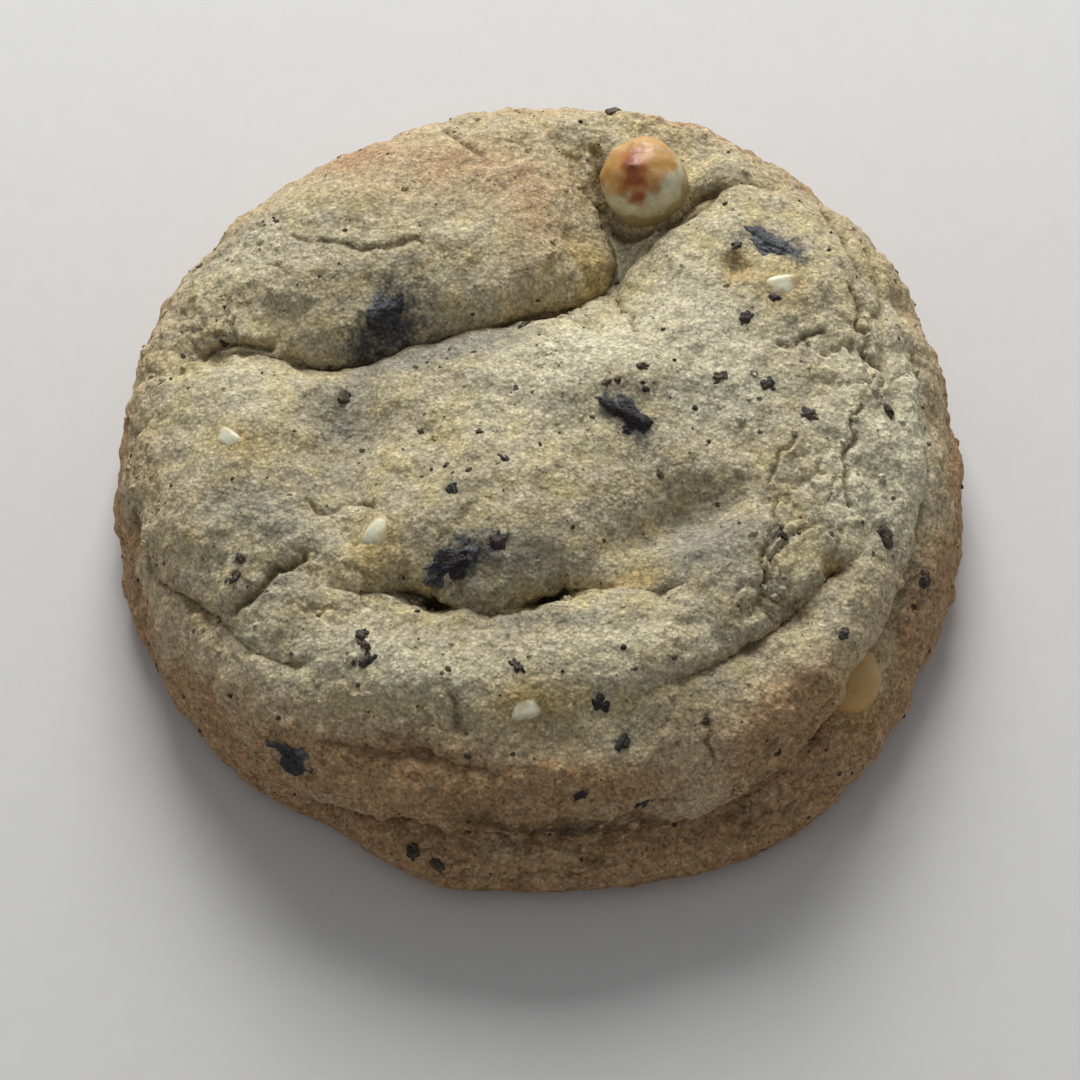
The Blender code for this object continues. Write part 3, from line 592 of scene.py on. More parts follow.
# Grey dust in the dough, and painted shade in the torn hollow, the valleys and faces turned from the lamp.
GREY_AND_SHADE = [
    (7.5, 21, 7, 4.5, 98, 0.2), (-9, 7.5, 10, 2.6, 15, 1.0), (-20, -6, 3, 10, 0, 0.5),
    (-3, -18, 10, 4, 0, 0.45), (14, -14, 9, 5, 25, 0.3), (18.5, -17, 7, 4, 25, 0.9),
    (-21.9, -0.7, 4, 4, 0, 0.5), (-30, -12, 6, 3.5, -20, 0.8), (0, -25.5, 9, 1.8, 0, 0.7),
    (30, 8, 6, 7, 0, 0.2), (-17, 11, 8, 4, 25, 0.5), (24, -24, 7, 3, 35, 0.3), (24, -35, 7, 4, 40, 0.4),
    (-27, -20, 6, 4, -30, 0.35), (-14, 8, 5, 3, 0, 0.6), (-34, 24, 6, 4, 40, 0.35),
    (-24, 20, 7, 4, 10, 0.3),
]
# Painted light: the pale spots lighten lit ridges, rims and the hollow's floor, besides paler dough.
PALE_AND_LIGHT = [
    (-14, -29.5, 12, 3.2, -14, 0.8), (9, -28, 11, 3.2, 10, 0.7), (-32, -1, 6, 6, 0, 0.7),
    (7, 6, 10, 5, 10, 0.6), (14, 14, 6, 3, 35, 0.6), (24.2, 13.4, 4.6, 1.5, 8, 1.3),
    (-24, -14, 5, 4, 0, 0.4), (11, 22, 6, 5, 0, 0.6), (34, -10, 5, 9, 0, 0.8), (39, 8, 4, 9, 0, 0.5),
    (-30, 20, 6, 5, 0, 0.6), (0, -2, 8, 5, 0, 0.5), (-28, -28, 6, 3, -40, 0.5), (28, -27, 8, 3, 42, 0.4),
    (0, 6, 9, 6, 0, 0.5), (19, 8, 7, 5, 0, 0.7), (19, 0, 6, 4, 0, 1.3), (7, 22, 4, 4, 0, 0.7),
    (32, 4, 6, 12, 0, 0.5), (41, -5, 4, 12, 0, 0.8),
]
HALO = [
    (11.4, 29.4, 5.6, 5.6, 0, 0.6), (-31.6, -4.2, 4.2, 2.4, -35, 0.9), (-16.6, -17, 3.8, 2.6, 60, 0.8),
    (-1.2, -34.6, 4.6, 2.6, 0, 0.9), (24.6, 13.8, 4.2, 3.0, 0, 0.9), (36, -31, 4.4, 3.6, -40, 0.9),
    (9.6, -20, 3.6, 1.3, 4, 1.0), (19.8, 16.4, 1.6, 2.2, 0, 1.0), (4.2, 19.5, 1.3, 3.2, 5, 1.0),
    (31, -18.4, 1.8, 1.4, 0, 1.0), (2, -24.5, 3, 1, 0, 0.3),
]
STAIN = [
    (-16.2, 13.0, 4.8, 2.3, 32, 1.0), (-19.6, 11.2, 2.6, 1.6, 20, 0.6), (9.8, -3.2, 4.2, 2.0, -42, 1.0),
    (12.0, 0.8, 3.0, 1.8, -10, 0.35), (-7.4, -17.2, 3.2, 1.6, -8, 0.9), (-4.4, -18.4, 1.8, 1.2, 0, 0.7),
    (23.4, 20.2, 3.6, 1.7, -25, 0.95), (26.2, 17.6, 2.2, 2.0, -40, 0.6), (19.8, 19.0, 1.4, 1.0, 0, 0.5),
    (28.4, -1.0, 2.4, 1.6, -15, 0.45), (24.0, 2.4, 1.6, 2.4, 20, 0.5), (-2.6, 10.4, 3.4, 1.2, 20, 0.45),
    (-20.2, 2.4, 1.8, 1.5, 0, 0.5), (-20, -1.2, 1.6, 1.6, 0, 0.4), (-26.4, -38.6, 3.0, 2.2, -30, 0.6),
    (8.4, -38.2, 1.8, 1.4, 0, 0.5), (37.2, -14.2, 2.0, 2.2, 0, 0.6), (-5.2, -6.8, 2.0, 1.2, 30, 0.3),
    (19.8, 16.8, 1.0, 0.9, 0, 0.8), (23.8, 12.6, 0.8, 0.8, 0, 0.8), (36, 1.5, 1.4, 2.4, 0, 0.4),
    (-31, -19.4, 1.6, 1.6, 0, 0.5), (-22.4, 18.8, 2.0, 1.4, 0, 0.25), (13, -9, 5, 2, 30, 0.3),
]
# Painted shade in the mouths under the lip and along the waist, as dark as a fold's crevice shade.
MOUTH_SHADE = [
    (-10.8, -21.4, 2.6, 1.4, -8, 1.0), (0.8, -21.2, 3.3, 1.4, 8, 1.0), (2.4, -46.2, 7, 1.3, -2, 0.9),
    (-6.5, -44.6, 5, 1.1, -12, 0.6), (12, -45.6, 5, 1.2, 6, 0.8),
]

# The foot's browning starts at an uneven line.
uneven_length = length_on_skin + 5 * noise_at(skin_points, 7, 61) + 3 * noise_at(skin_points, 2.5, 63)
brown = hills(skin_uv, BROWN) + 0.55 * smooth_step(36, 47, length_on_skin)
brown += 0.95 * smooth_step(46.5, 54, uneven_length)
brown += 0.25 * noise_at(skin_points, 7, 29)
grey_and_shade = hills(skin_uv, GREY_AND_SHADE) + 0.25 * noise_at(skin_points, 6, 31)
pale_and_light = hills(skin_uv, PALE_AND_LIGHT) + 0.2 * noise_at(skin_points, 5, 37)
halo, stain = 1.25 * hills(skin_uv, HALO), hills(skin_uv, STAIN)
crevice_tone_and_shade = np.maximum(crevice_tone_and_shade, hills(skin_uv, MOUTH_SHADE))
under = smooth_step(FLAT_START - 6, FLAT_START, length_on_skin)
print("brown on", round(100 * float((brown > 0.5).mean())), "percent of the skin")

# %% Keep the tints in the mesh
def keep_colour(mesh, name, red, green, blue):
    """Stores three values a vertex as one colour attribute."""
    channels = np.clip(np.stack([red, green, blue, np.ones(len(red))], 1), 0, 1)
    layer = mesh.color_attributes.new(name, "FLOAT_COLOR", "POINT")
    layer.data.foreach_set("color", channels.astype(np.float32).ravel())


# The bake colour holds the browning, the pale tint with its painted light, and the underside.
keep_colour(dough_mesh, "bake", brown, pale_and_light, under)
# The dust colour holds grey dust with its painted shade, the stains and the halos.
keep_colour(dough_mesh, "dust", grey_and_shade, stain, halo)
keep_colour(dough_mesh, "depth", crevice_tone_and_shade, crack_shade, rough)

# The ball has 327,680 triangles. Decimate takes away the ones on flat ground and keeps the crags.
DOUGH_TRIANGLES = 196000
dough = add_piece(dough_mesh, "cookie_dough", "baked_dough", "dough")
thin = dough.modifiers.new("thin", "DECIMATE")
thin.ratio = DOUGH_TRIANGLES / len(dough_mesh.polygons)
graph = bpy.context.evaluated_depsgraph_get()
thinned = dough.evaluated_get(graph)
thin_mesh = bpy.data.meshes.new_from_object(thinned, preserve_all_data_layers=True, depsgraph=graph)
hold_in_box(thin_mesh)
dough.modifiers.clear()
dough.data = thin_mesh
dough.data.shade_smooth()
print("the dough has", len(dough.data.polygons), "triangles")

# %% [markdown]
# ## Dough material
# Baked dough is matt and sandy: sugar and flour grains of about half a millimetre, some in lumps of nearly
# one, each a little lighter or darker than the next, with dark dust between them. One flat colour would look
# like clay. Here a slow noise varies the base colour, the tints lay browning, grey, halos and stains over it,
# with painted light on the pale spots and painted shade on the grey spots, in the crevices and in the cracks,
# and Voronoi patterns of both sizes give each grain its own brightness and its own small bump.

# %% Helpers for materials
def srgb(red, green, blue):
    """A colour from 0 to 255, as seen on a screen, in the renderer's linear units."""
    shown = [c / 255 for c in (red, green, blue)]
    return (*[((c + 0.055) / 1.055) ** 2.4 if c > 0.04 else c / 12.92 for c in shown], 1)


class Recipe:
    """A material's node tree, with short names for the nodes that this notebook uses."""

    def __init__(self, name):
        self.material = bpy.data.materials.new(name)
        self.material.use_nodes = True
        self.tree = self.material.node_tree
        self.shader = self.tree.nodes["Principled BSDF"]
        self.place = self.tree.nodes.new("ShaderNodeTexCoord").outputs["Object"]

    def put(self, socket, value):
        if isinstance(value, bpy.types.NodeSocket):
            self.tree.links.new(value, socket)
        else:
            socket.default_value = value

    def math(self, operation, a, b):
        node = self.tree.nodes.new("ShaderNodeMath")
        node.operation = operation
        self.put(node.inputs[0], a)
        self.put(node.inputs[1], b)
        return node.outputs[0]

    def loosen(self, value, pattern, swing):
        """A value that a pattern from 0 to 1 lifts and lowers by up to half the swing."""
        return self.math("ADD", value, self.math("MULTIPLY", self.math("SUBTRACT", pattern, 0.5), swing))

    def mix(self, factor, a, b, blend="MIX"):
        node = self.tree.nodes.new("ShaderNodeMix")
        node.data_type, node.blend_type = "RGBA", blend
        self.put(node.inputs[0], factor)
        self.put(node.inputs[6], a)
        self.put(node.inputs[7], b)
        return node.outputs[2]

    def lay(self, colour, *layers):
        """Lays tones over a colour, each as far as its cover, from 0 to 1, and its share say."""
        for cover, share, *tone in layers:
            colour = self.mix(self.math("MULTIPLY", cover, share), colour, srgb(*tone))
        return colour

    def shifted(self, seed):
        node = self.tree.nodes.new("ShaderNodeVectorMath")
        self.put(node.inputs[0], self.place)
        node.inputs[1].default_value = (seed / 50, -seed / 90, seed / 70)
        return node.outputs[0]

    def noise(self, size, seed=0, detail=2.0, roughness=0.5):
        """Soft noise from 0 to 1, with features of that size in millimetres."""
        node = self.tree.nodes.new("ShaderNodeTexNoise")
        self.put(node.inputs["Vector"], self.shifted(seed))
        node.inputs["Scale"].default_value = 1 / (size * MM)
        node.inputs["Detail"].default_value = detail
        node.inputs["Roughness"].default_value = roughness
        return node.outputs["Fac"]

    def cells(self, size, seed=0, output="Distance"):
        """Voronoi cells of that size in millimetres: how far the middle is, or a colour for each cell."""
        node = self.tree.nodes.new("ShaderNodeTexVoronoi")
        self.put(node.inputs["Vector"], self.shifted(seed))
        node.inputs["Scale"].default_value = 1 / (size * MM)
        return node.outputs[output]

    def ramp(self, value, low, high, out_low=0.0, out_high=1.0):
        node = self.tree.nodes.new("ShaderNodeMapRange")
        for socket, number in zip(list(node.inputs)[:5], (value, low, high, out_low, out_high)):
            self.put(socket, number)
        return node.outputs[0]

    def split(self, colour):
        node = self.tree.nodes.new("ShaderNodeSeparateColor")
        self.put(node.inputs[0], colour)
        return list(node.outputs)

    def channels(self, name):
        """The three values that keep_colour stored under this name."""
        node = self.tree.nodes.new("ShaderNodeAttribute")
        node.attribute_name = name
        return self.split(node.outputs["Color"])

    def bump(self, height, distance, strength=1.0, over=None):
        node = self.tree.nodes.new("ShaderNodeBump")
        node.inputs["Strength"].default_value = strength
        node.inputs["Distance"].default_value = distance * MM
        self.put(node.inputs["Height"], height)
        if over:
            self.put(node.inputs["Normal"], over)
        return node.outputs["Normal"]

    def finish(self, **sockets):
        """Sets the shader's sockets, with _ for a space in their names, and gives the material."""
        for name, value in sockets.items():
            self.put(self.shader.inputs[name.replace("_", " ")], value)
        return self.material


# %% Dough material
def dough_material():
    r = Recipe("baked_dough_surface")
    brown, pale_and_light, under = r.channels("bake")
    grey_and_shade, stain, halo = r.channels("dust")
    crevice_tone_and_shade, crack_shade, _ = r.channels("depth")
    clump, grain_tone = r.noise(1.3, 3), r.noise(0.42, 5, detail=3.0)

    def patch(value, spread, low, high):
        """Breaks a tint's soft edge up into grains and clumps."""
        return r.ramp(r.loosen(r.loosen(value, clump, spread), grain_tone, spread), low, high)

    colour = r.mix(r.ramp(r.noise(5, 1, detail=3), 0.35, 0.65), srgb(201, 189, 155), srgb(188, 177, 146))
    colour = r.lay(
        colour,
        (r.ramp(r.noise(3.2, 25, detail=3), 0.42, 0.66), 0.75, 204, 186, 134),
        # Paler dough, and painted light on lit ridges and rims.
        (patch(pale_and_light, 0.5, 0.1, 1.1), 1, 214, 207, 176),
        # Grey dust, and painted shade in hollows and valleys.
        (patch(grey_and_shade, 0.5, 0.1, 1.2), 1, 148, 144, 129),
        (patch(brown, 0.45, 0.15, 0.85), 1, 194, 168, 131),
        (patch(brown, 0.5, 0.7, 1.35), 1, 156, 106, 54),
        (patch(halo, 0.4, 0.15, 1.0), 0.75, 188, 160, 98),
        # The crevices get an amber tone and then painted shade, dark brown at their deepest.
        (patch(crevice_tone_and_shade, 0.5, 0.15, 0.7), 0.6, 126, 98, 56),
        (patch(crevice_tone_and_shade, 0.4, 0.5, 1.0), 0.9, 50, 33, 18),
        # Painted shade in the thin cracks, which the mesh is too coarse to shade.
        (patch(crack_shade, 0.4, 0.25, 0.9), 0.7, 104, 86, 50),
        (patch(stain, 1.1, 0.25, 1.05), 0.9, 62, 64, 74),
        (under, 0.8, 150, 104, 58),
    )

    tone, dust_draw, fleck = r.split(r.cells(0.26, 7, "Color"))
    small_grain, large_grain = r.cells(0.42, 21), r.cells(0.85, 23)
    light = r.ramp(tone, 0, 1, 0.82, 1.18)
    for factor in (
        r.ramp(small_grain, 0.1, 0.75, 1.20, 0.80),
        r.ramp(large_grain, 0.1, 0.75, 1.14, 0.88),
        r.ramp(r.noise(1.1, 9, detail=4.0, roughness=0.75), 0.3, 0.7, 0.68, 1.34),
        r.ramp(fleck, 0.86, 0.94, 1.0, 0.66),
    ):
        light = r.math("MULTIPLY", light, factor)
    shade = r.tree.nodes.new("ShaderNodeCombineColor")
    for socket in shade.inputs:
        r.put(socket, light)
    colour = r.mix(1.0, colour, shade.outputs[0], "MULTIPLY")

    dust = r.math("LESS_THAN", r.cells(1.25, 11), r.ramp(dust_draw, 0.80, 1.0, 0.0, 0.34))
    speck_size = r.ramp(r.split(r.cells(2.3, 13, "Color"))[0], 0.55, 1.0, 0.0, 0.15)
    speck = r.math("LESS_THAN", r.loosen(r.cells(2.3, 13), grain_tone, 0.22), speck_size)
    colour = r.lay(colour, (dust, 0.5, 78, 66, 52), (speck, 0.85, 40, 34, 32))
    lumps = r.bump(r.ramp(large_grain, 0, 0.8, 1.0, 0.0), 0.10)
    return r.finish(
        Base_Color=colour, Roughness=r.ramp(grain_tone, 0.3, 0.7, 0.72, 0.92), Specular_IOR_Level=0.32,
        Normal=r.bump(r.ramp(small_grain, 0, 0.8, 1.0, 0.0), 0.06, over=lumps),
    )


dough.data.materials.clear()
dough.data.materials.append(dough_material())
print("dough material has", len(dough.data.materials[0].node_tree.nodes), "nodes")

# %% [markdown]
# ## White chocolate chips
# A baking chip is a small teardrop: a round foot and a pointed top. One shows whole, in the torn hollow, its
# top browned like caramel where it stood out in the oven. The others lie on their sides, sunk in the dough
# until only a sliver shows. The outline is half a teardrop, spun round its axis.

# %% Chip form
CHIP_RADIUS, CHIP_HEIGHT = 4.3, 7.4
CHIP_SIDES = 48
CHIP_OUTLINE = [
    (0, 0), (0.62, 0), (0.92, 0.06), (1.0, 0.2), (1.0, 0.38), (0.91, 0.57), (0.71, 0.75), (0.4, 0.88),
    (0.13, 0.95), (0, 1),
]
CHIPS = {
    "chip_whole": dict(size=1.07, place=(11.7, 29.5), sink=-2.9, tilt=(4, -5), turn=0),
    "chip_left": dict(size=0.85, place=(-32.9, -4.6), sink=3.5, tilt=(105, 0), turn=-40),
    "chip_middle": dict(size=0.9, place=(-15.7, -16.2), sink=3.7, tilt=(105, 0), turn=62),
    "chip_front": dict(size=0.85, place=(-1.7, -34.4), sink=3.5, tilt=(105, 0), turn=190),
    "chip_right": dict(size=0.85, place=(24.7, 12.9), sink=3.4, tilt=(105, 0), turn=10),
    "chip_side": dict(size=0.95, place=(36.4, -31.4), sink=2.2, tilt=(84, 0), turn=30),
}


def skin_place(u, v):
    """Where (u, v) lies on the skin, with a frame there: across, along and outwards."""
    reach = 1.2
    around = [(u, v), (u + reach, v), (u - reach, v), (u, v + reach), (u, v - reach)]
    middle, east, west, north, south = (Vector(p) for p in dough_skin(np.array(around, float))[0])
    across = (east - west).normalized()
    out = across.cross(north - south).normalized()
    return Matrix.Translation(middle) @ Matrix((across, out.cross(across), out)).transposed().to_4x4()


def height_above(shape, place):
    """How far each point of a shape stands, in millimetres, above the skin at that place."""
    to_skin = skin_place(*place).inverted()
    return np.array([(to_skin @ v.co).z for v in shape.verts])


def seat(place, sink, turn, tilt=(0, 0)):
    """Where a chip or a scrap sits: its middle lies sink below the skin."""
    lean = Euler((math.radians(tilt[0]), math.radians(tilt[1]), 0)).to_matrix().to_4x4()
    spin = Matrix.Rotation(math.radians(turn), 4, "Z")
    return skin_place(*place) @ Matrix.Translation((0, 0, -sink)) @ spin @ lean


def chip_shape(size):
    """A teardrop with its tip up, spun from half an outline that is first rounded off."""
    line = smooth_line([(r * CHIP_RADIUS * size, z * CHIP_HEIGHT * size, 0) for r, z in CHIP_OUTLINE])
    shape = bmesh.new()
    corners = [shape.verts.new((max(r, 0), 0, z)) for r, z, _ in line]
    edges = [shape.edges.new(pair) for pair in zip(corners[:-1], corners[1:])]
    bmesh.ops.spin(
        shape, geom=corners + edges, cent=(0, 0, 0), axis=(0, 0, 1), angle=2 * math.pi, steps=CHIP_SIDES,
        use_merge=True, use_duplicate=False,
    )
    bmesh.ops.remove_doubles(shape, verts=shape.verts, dist=0.01)
    bmesh.ops.recalc_face_normals(shape, faces=shape.faces)
    bmesh.ops.translate(shape, vec=(0, 0, -CHIP_HEIGHT * size / 2), verts=shape.verts)
    return shape


# %% Chips
COLLAR = 0.7  # how far the whole chip's browned collar swells, in millimetres
COLLAR_HEIGHT, COLLAR_WIDTH = 1.2, 1.6


def make_chip(name, size, place, sink, tilt, turn):
    """A chip with soft dents, and its browning, dough cover and painted shade kept as an attribute."""
    shape = chip_shape(size)
    local = np.array([v.co for v in shape.verts])
    shape.normal_update()
    for vertex, normal in [(v, v.normal.copy()) for v in shape.verts]:
        dent = noise.noise(vertex.co / 2.4 + Vector((len(name), 3, size))) * 0.16 - 0.10
        vertex.co += normal * (dent + 0.05 * noise.noise(vertex.co / 0.8))
    if name == "chip_whole":
        for vertex in shape.verts:
            band = math.exp(-(((vertex.co.z - COLLAR_HEIGHT) / COLLAR_WIDTH) ** 2))
            swell = COLLAR * band * (0.6 + 0.4 * vertex.co.y / CHIP_RADIUS)
            wrinkle = 1 + 0.5 * noise.noise(vertex.co / 1.3)
            vertex.co += vertex.co.normalized() * swell * wrinkle
    bmesh.ops.transform(shape, matrix=seat(place, sink, turn, tilt), verts=shape.verts)
    points = np.array([v.co for v in shape.verts])
    above = height_above(shape, place)
    mesh = to_mesh(shape, name)
    height = local[:, 2] / (CHIP_HEIGHT * size) + 0.5
    if name == "chip_whole":
        backward = local[:, 1] / (CHIP_RADIUS * size)
        sideways = np.abs(local[:, 0]) / (CHIP_RADIUS * size)
        browned_and_shade = smooth_step(0.48, 0.74, height + 0.30 * backward + 0.14 * noise_at(points, 1.6, 41))
        heat = height - 0.10 * backward - 0.35 * sideways + 0.14 * noise_at(points, 1.1, 43)
        burnt = smooth_step(0.56, 1.0, heat)
        # The cover tone is a film of dough near the skin and painted shade on the chip's low parts.
        covered_and_shade = 0.3 + 0.9 * (1 - smooth_step(0.8, 3.6, above + 0.8 * noise_at(points, 1.2, 45)))
    else:
        # The side chip lies in shade under a flap, so its browning and cover also paint that shade.
        shaded = 1.0 if name == "chip_side" else 0.0
        browned_and_shade = 0.15 + 0.6 * shaded + 0.3 * noise_at(points, 1.8, 47)
        burnt = 0 * height
        covered_and_shade = shaded + 1 - smooth_step(-0.05, 0.42, above + 0.25 * noise_at(points, 0.9, 45))
    keep_colour(mesh, "chip", browned_and_shade, burnt, covered_and_shade)
    return add_piece(mesh, name, "white_chocolate", name)


chips = [make_chip(name, **chip) for name, chip in CHIPS.items()]
print(len(chips), "chips of", len(chips[0].data.polygons), "faces")

# %% [markdown]
# ## White chocolate
# White chocolate is a creamy ivory with a soft satin gloss, and lets a little light in. Heat turns it amber
# and then caramel brown, in blotches. A gloss all over would look like plastic, so the gloss is broken by
# noise, and the browning comes from the attribute above. That attribute also paints shade on the whole
# chip's low parts and on the side chip under its flap.

# %% Chip material
def chip_material():
    r = Recipe("white_chocolate_surface")
    browned_and_shade, burnt, covered_and_shade = r.channels("chip")
    blotches = r.noise(1.4, 3, detail=3)

    def blotchy(value, low, high):
        return r.ramp(r.loosen(value, blotches, 0.9), low, high)

    colour = r.lay(
        r.mix(r.ramp(r.noise(0.8, 1), 0.3, 0.7), srgb(240, 238, 214), srgb(226, 220, 182)),
        # The cover tone is dough over the chip and painted shade on its low parts and on the side chip.
        (blotchy(covered_and_shade, 0.1, 0.9), 0.85, 166, 143, 86),
        (blotchy(browned_and_shade, 0.15, 1.0), 1, 200, 152, 82),
        (blotchy(burnt, 0.1, 0.8), 1, 176, 98, 40),
        (blotchy(burnt, 0.7, 1.3), 1, 110, 66, 44),
        (r.math("LESS_THAN", r.cells(1.1, 5), 0.14), 0.35, 110, 76, 40),
    )
    return r.finish(
        Base_Color=colour, Roughness=r.ramp(r.noise(0.7, 7), 0.3, 0.7, 0.32, 0.58),
        Subsurface_Weight=0.25, Subsurface_Radius=(0.0012, 0.0008, 0.0004), Subsurface_Scale=1.0,
        Normal=r.bump(r.noise(0.5, 9, detail=3), 0.09, 0.6),
    )


white_chocolate = chip_material()
for chip in chips:
    chip.data.materials.append(white_chocolate)
print("chip material has", len(white_chocolate.node_tree.nodes), "nodes")

# %% [markdown]
# ## Dark biscuit
# The dark scraps are broken bits of a nearly black biscuit: angular, porous and dull, with a bluish bloom
# where the dough's fat wetted them. A rough ball squeezed to size gives the angular form, and a finer
# subdivision with two scales of noise gives the porous break.

# %% Biscuit scraps
BISCUITS = {
    "biscuit_lobe": dict(place=(-16.4, 13.8), sink=0.8, half=(4.4, 2.1, 1.6), turn=30, dusted=0.25),
    "biscuit_ridge": dict(place=(9.2, -2.8), sink=0.7, half=(4.0, 1.9, 1.6), turn=-45, dusted=-0.05),
    "biscuit_lip": dict(place=(-8.0, -18.0), sink=0.6, half=(2.9, 1.7, 1.2), turn=-8, dusted=-0.3),
    "biscuit_foot": dict(place=(-26.2, -38.6), sink=0.9, half=(2.8, 2.2, 1.4), turn=-35, dusted=-0.3),
    "biscuit_back": dict(place=(23.2, 19.8), sink=0.8, half=(3.6, 1.8, 1.5), turn=-38, dusted=0.45),
}


def biscuit_shape(half, seed, subdivisions, fine=0.0):
    """An angular scrap: a rough ball squeezed to its half sizes, with a fine porous break."""
    shape = bmesh.new()
    bmesh.ops.create_icosphere(shape, subdivisions=subdivisions, radius=1)
    for vertex in shape.verts:
        rough_break = noise.noise(vertex.co * 1.7 + Vector((seed, -seed, 3 * seed)))
        pores = noise.noise(vertex.co * 5 + Vector((seed, seed, seed))) + 0.7 * noise.noise(vertex.co * 11)
        vertex.co *= 1 + 0.45 * rough_break + fine * (pores - 0.35)
    bmesh.ops.scale(shape, vec=half, verts=shape.verts)
    return shape


scraps = []
for number, (name, piece) in enumerate(BISCUITS.items()):
    shape = biscuit_shape(piece["half"], 20 + number, subdivisions=5, fine=0.13)
    bmesh.ops.transform(shape, matrix=seat(piece["place"], piece["sink"], piece["turn"]), verts=shape.verts)
    above = height_above(shape, piece["place"])
    mesh = to_mesh(shape, name)
    dusted = piece["dusted"] + 0.9 * (1 - smooth_step(-0.1, 0.5, above))
    keep_colour(mesh, "dusted", dusted, 0 * dusted, 0 * dusted)
    scraps.append(add_piece(mesh, name, "dark_biscuit", name))
print(len(scraps), "dark scraps")

# %% Biscuit material
def biscuit_material():
    r = Recipe("dark_biscuit_surface")
    dusted, sandy, _ = r.channels("dusted")
    bloom = r.ramp(r.noise(1.1, 3, detail=3), 0.42, 0.68)
    dust = r.loosen(dusted, r.noise(0.5, 13, detail=4, roughness=0.7), 2.0)
    sand = r.loosen(sandy, r.noise(0.3, 15, detail=3), 2.2)
    colour = r.lay(
        r.mix(bloom, srgb(22, 20, 21), srgb(46, 47, 56)),
        (r.ramp(r.noise(0.45, 5), 0.58, 0.75), 1, 62, 50, 44),
        (r.ramp(dust, 0.1, 1.0), 0.8, 118, 121, 124),
        (r.ramp(sand, 0.1, 1.1), 0.8, 124, 104, 78),
        (r.math("LESS_THAN", r.cells(0.5, 7), 0.10), 1, 120, 110, 92),
    )
    coarse = r.bump(r.noise(0.7, 9, detail=4.0), 0.35, 0.9)
    return r.finish(
        Base_Color=colour, Roughness=r.ramp(bloom, 0, 1, 0.62, 0.9),
        Normal=r.bump(r.cells(0.3, 11), -0.12, 0.9, coarse),
    )


dark_biscuit = biscuit_material()
for scrap in scraps:
    scrap.data.materials.append(dark_biscuit)
print("biscuit material has", len(dark_biscuit.node_tree.nodes), "nodes")

# %% [markdown]
# ## Dark bits and dust
# The same biscuit also lies all over the cookie as bits from a few millimetres down to dust. The larger bits
# are where the photo shows them. The rest are drawn at random, with the dice seeded, and all of them are
# joined into one mesh, which is far lighter than hundreds of objects.

# %% Find the finished surface
corners = [v.co.copy() for v in dough.data.vertices]
surface = BVHTree.FromPolygons(corners, [tuple(p.vertices) for p in dough.data.polygons])
RAY_START, RAY_LENGTH = 2.5, 6


def on_surface(u, v):
    """The point and normal of the finished surface, in millimetres, above the place (u, v)."""
    frame_there = skin_place(u, v)
    out = frame_there.to_3x3() @ Vector((0, 0, 1))
    start = (frame_there.translation + RAY_START * out) * MM
    point, normal, _, _ = surface.ray_cast(start, -out, RAY_LENGTH * MM)
    if point is None:
        point, normal, _, _ = surface.find_nearest(frame_there.translation * MM)
    return point / MM, normal


def add_crumb(pile, point, normal, half, turn, seed, sink, subdivisions, fine=0.0):
    """Adds one crumb to a pile, with its middle sink below the point."""
    crumb = biscuit_shape(half, seed, subdivisions, fine)
    facing = normal.to_track_quat("Z", "Y").to_matrix().to_4x4()
    place = Matrix.Translation(point - sink * normal) @ facing @ Matrix.Rotation(turn, 4, "Z")
    bmesh.ops.transform(crumb, matrix=place, verts=crumb.verts)
    mesh = bpy.data.meshes.new("crumb")
    crumb.to_mesh(mesh)
    crumb.free()
    pile.from_mesh(mesh)
    bpy.data.meshes.remove(mesh)


def add_dark_pile(pile, name, base, swing, size, seed):
    """Finishes a pile of dark crumbs, some of them sandy, as one piece."""
    mesh = to_mesh(pile, name)
    sandiness = base + swing * noise_at(get_all(mesh.vertices, "co", 3) / MM, size, seed)
    keep_colour(mesh, "dusted", 0 * sandiness, sandiness, 0 * sandiness)
    piece = add_piece(mesh, name, "dark_biscuit")
    piece.data.materials.append(dark_biscuit)
    return piece


# %% Dark bits
# u, v, half size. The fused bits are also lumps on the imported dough.
FUSED_BITS = [
    (-4.2, -17.6, 1.1), (28.5, -1.0, 1.1), (24.0, 2.1, 1.0), (-20.3, 2.4, 1.1), (-1.8, 10.8, 0.9),
    (21.0, 10.0, 0.9), (6.1, -34.8, 1.1), (8.4, -38.2, 1.0), (-31.0, -19.5, 0.9), (37.4, -14.5, 1.1),
    (-17.4, -26.7, 0.9), (-16.9, -29.4, 0.9), (-37.7, 21.5, 1.0), (8.0, 39.9, 1.2), (10.5, 3.2, 0.8),
    (18.6, 2.6, 0.8), (-8.9, -11.4, 0.8), (-15.2, -51.6, 0.9), (-12.2, -52.3, 0.9), (45.2, -17.1, 0.8),
    (11.0, -44.4, 0.8), (37.7, 1.4, 0.9), (31.7, -25.7, 0.8),
]
SMALL_BITS = [
    (23.8, 12.3, 0.6), (-2.3, -31.0, 0.8), (-14.7, 11.6, 0.8), (20.0, 18.8, 0.7), (4.2, -43.6, 0.6),
    (24.6, -38.1, 0.6), (-3.6, -8.1, 0.6), (12.6, -9.0, 0.5), (25.4, -16.0, 0.5), (-28, 24, 0.5),
    (-34.0, 11.0, 0.9), (17.0, -36.0, 0.5), (-17.0, -28.0, 0.6), (7.0, 1.0, 0.6), (8.0, 1.4, 0.5),
    (-30.5, -17.6, 0.6), (-9.6, -8.4, 0.5), (-6.2, -4.6, 0.5),
]
BIT_SINK = 0.4  # of a bit's half size
FULL_TURN = 6.28
dice = np.random.default_rng(5)
bits = bmesh.new()
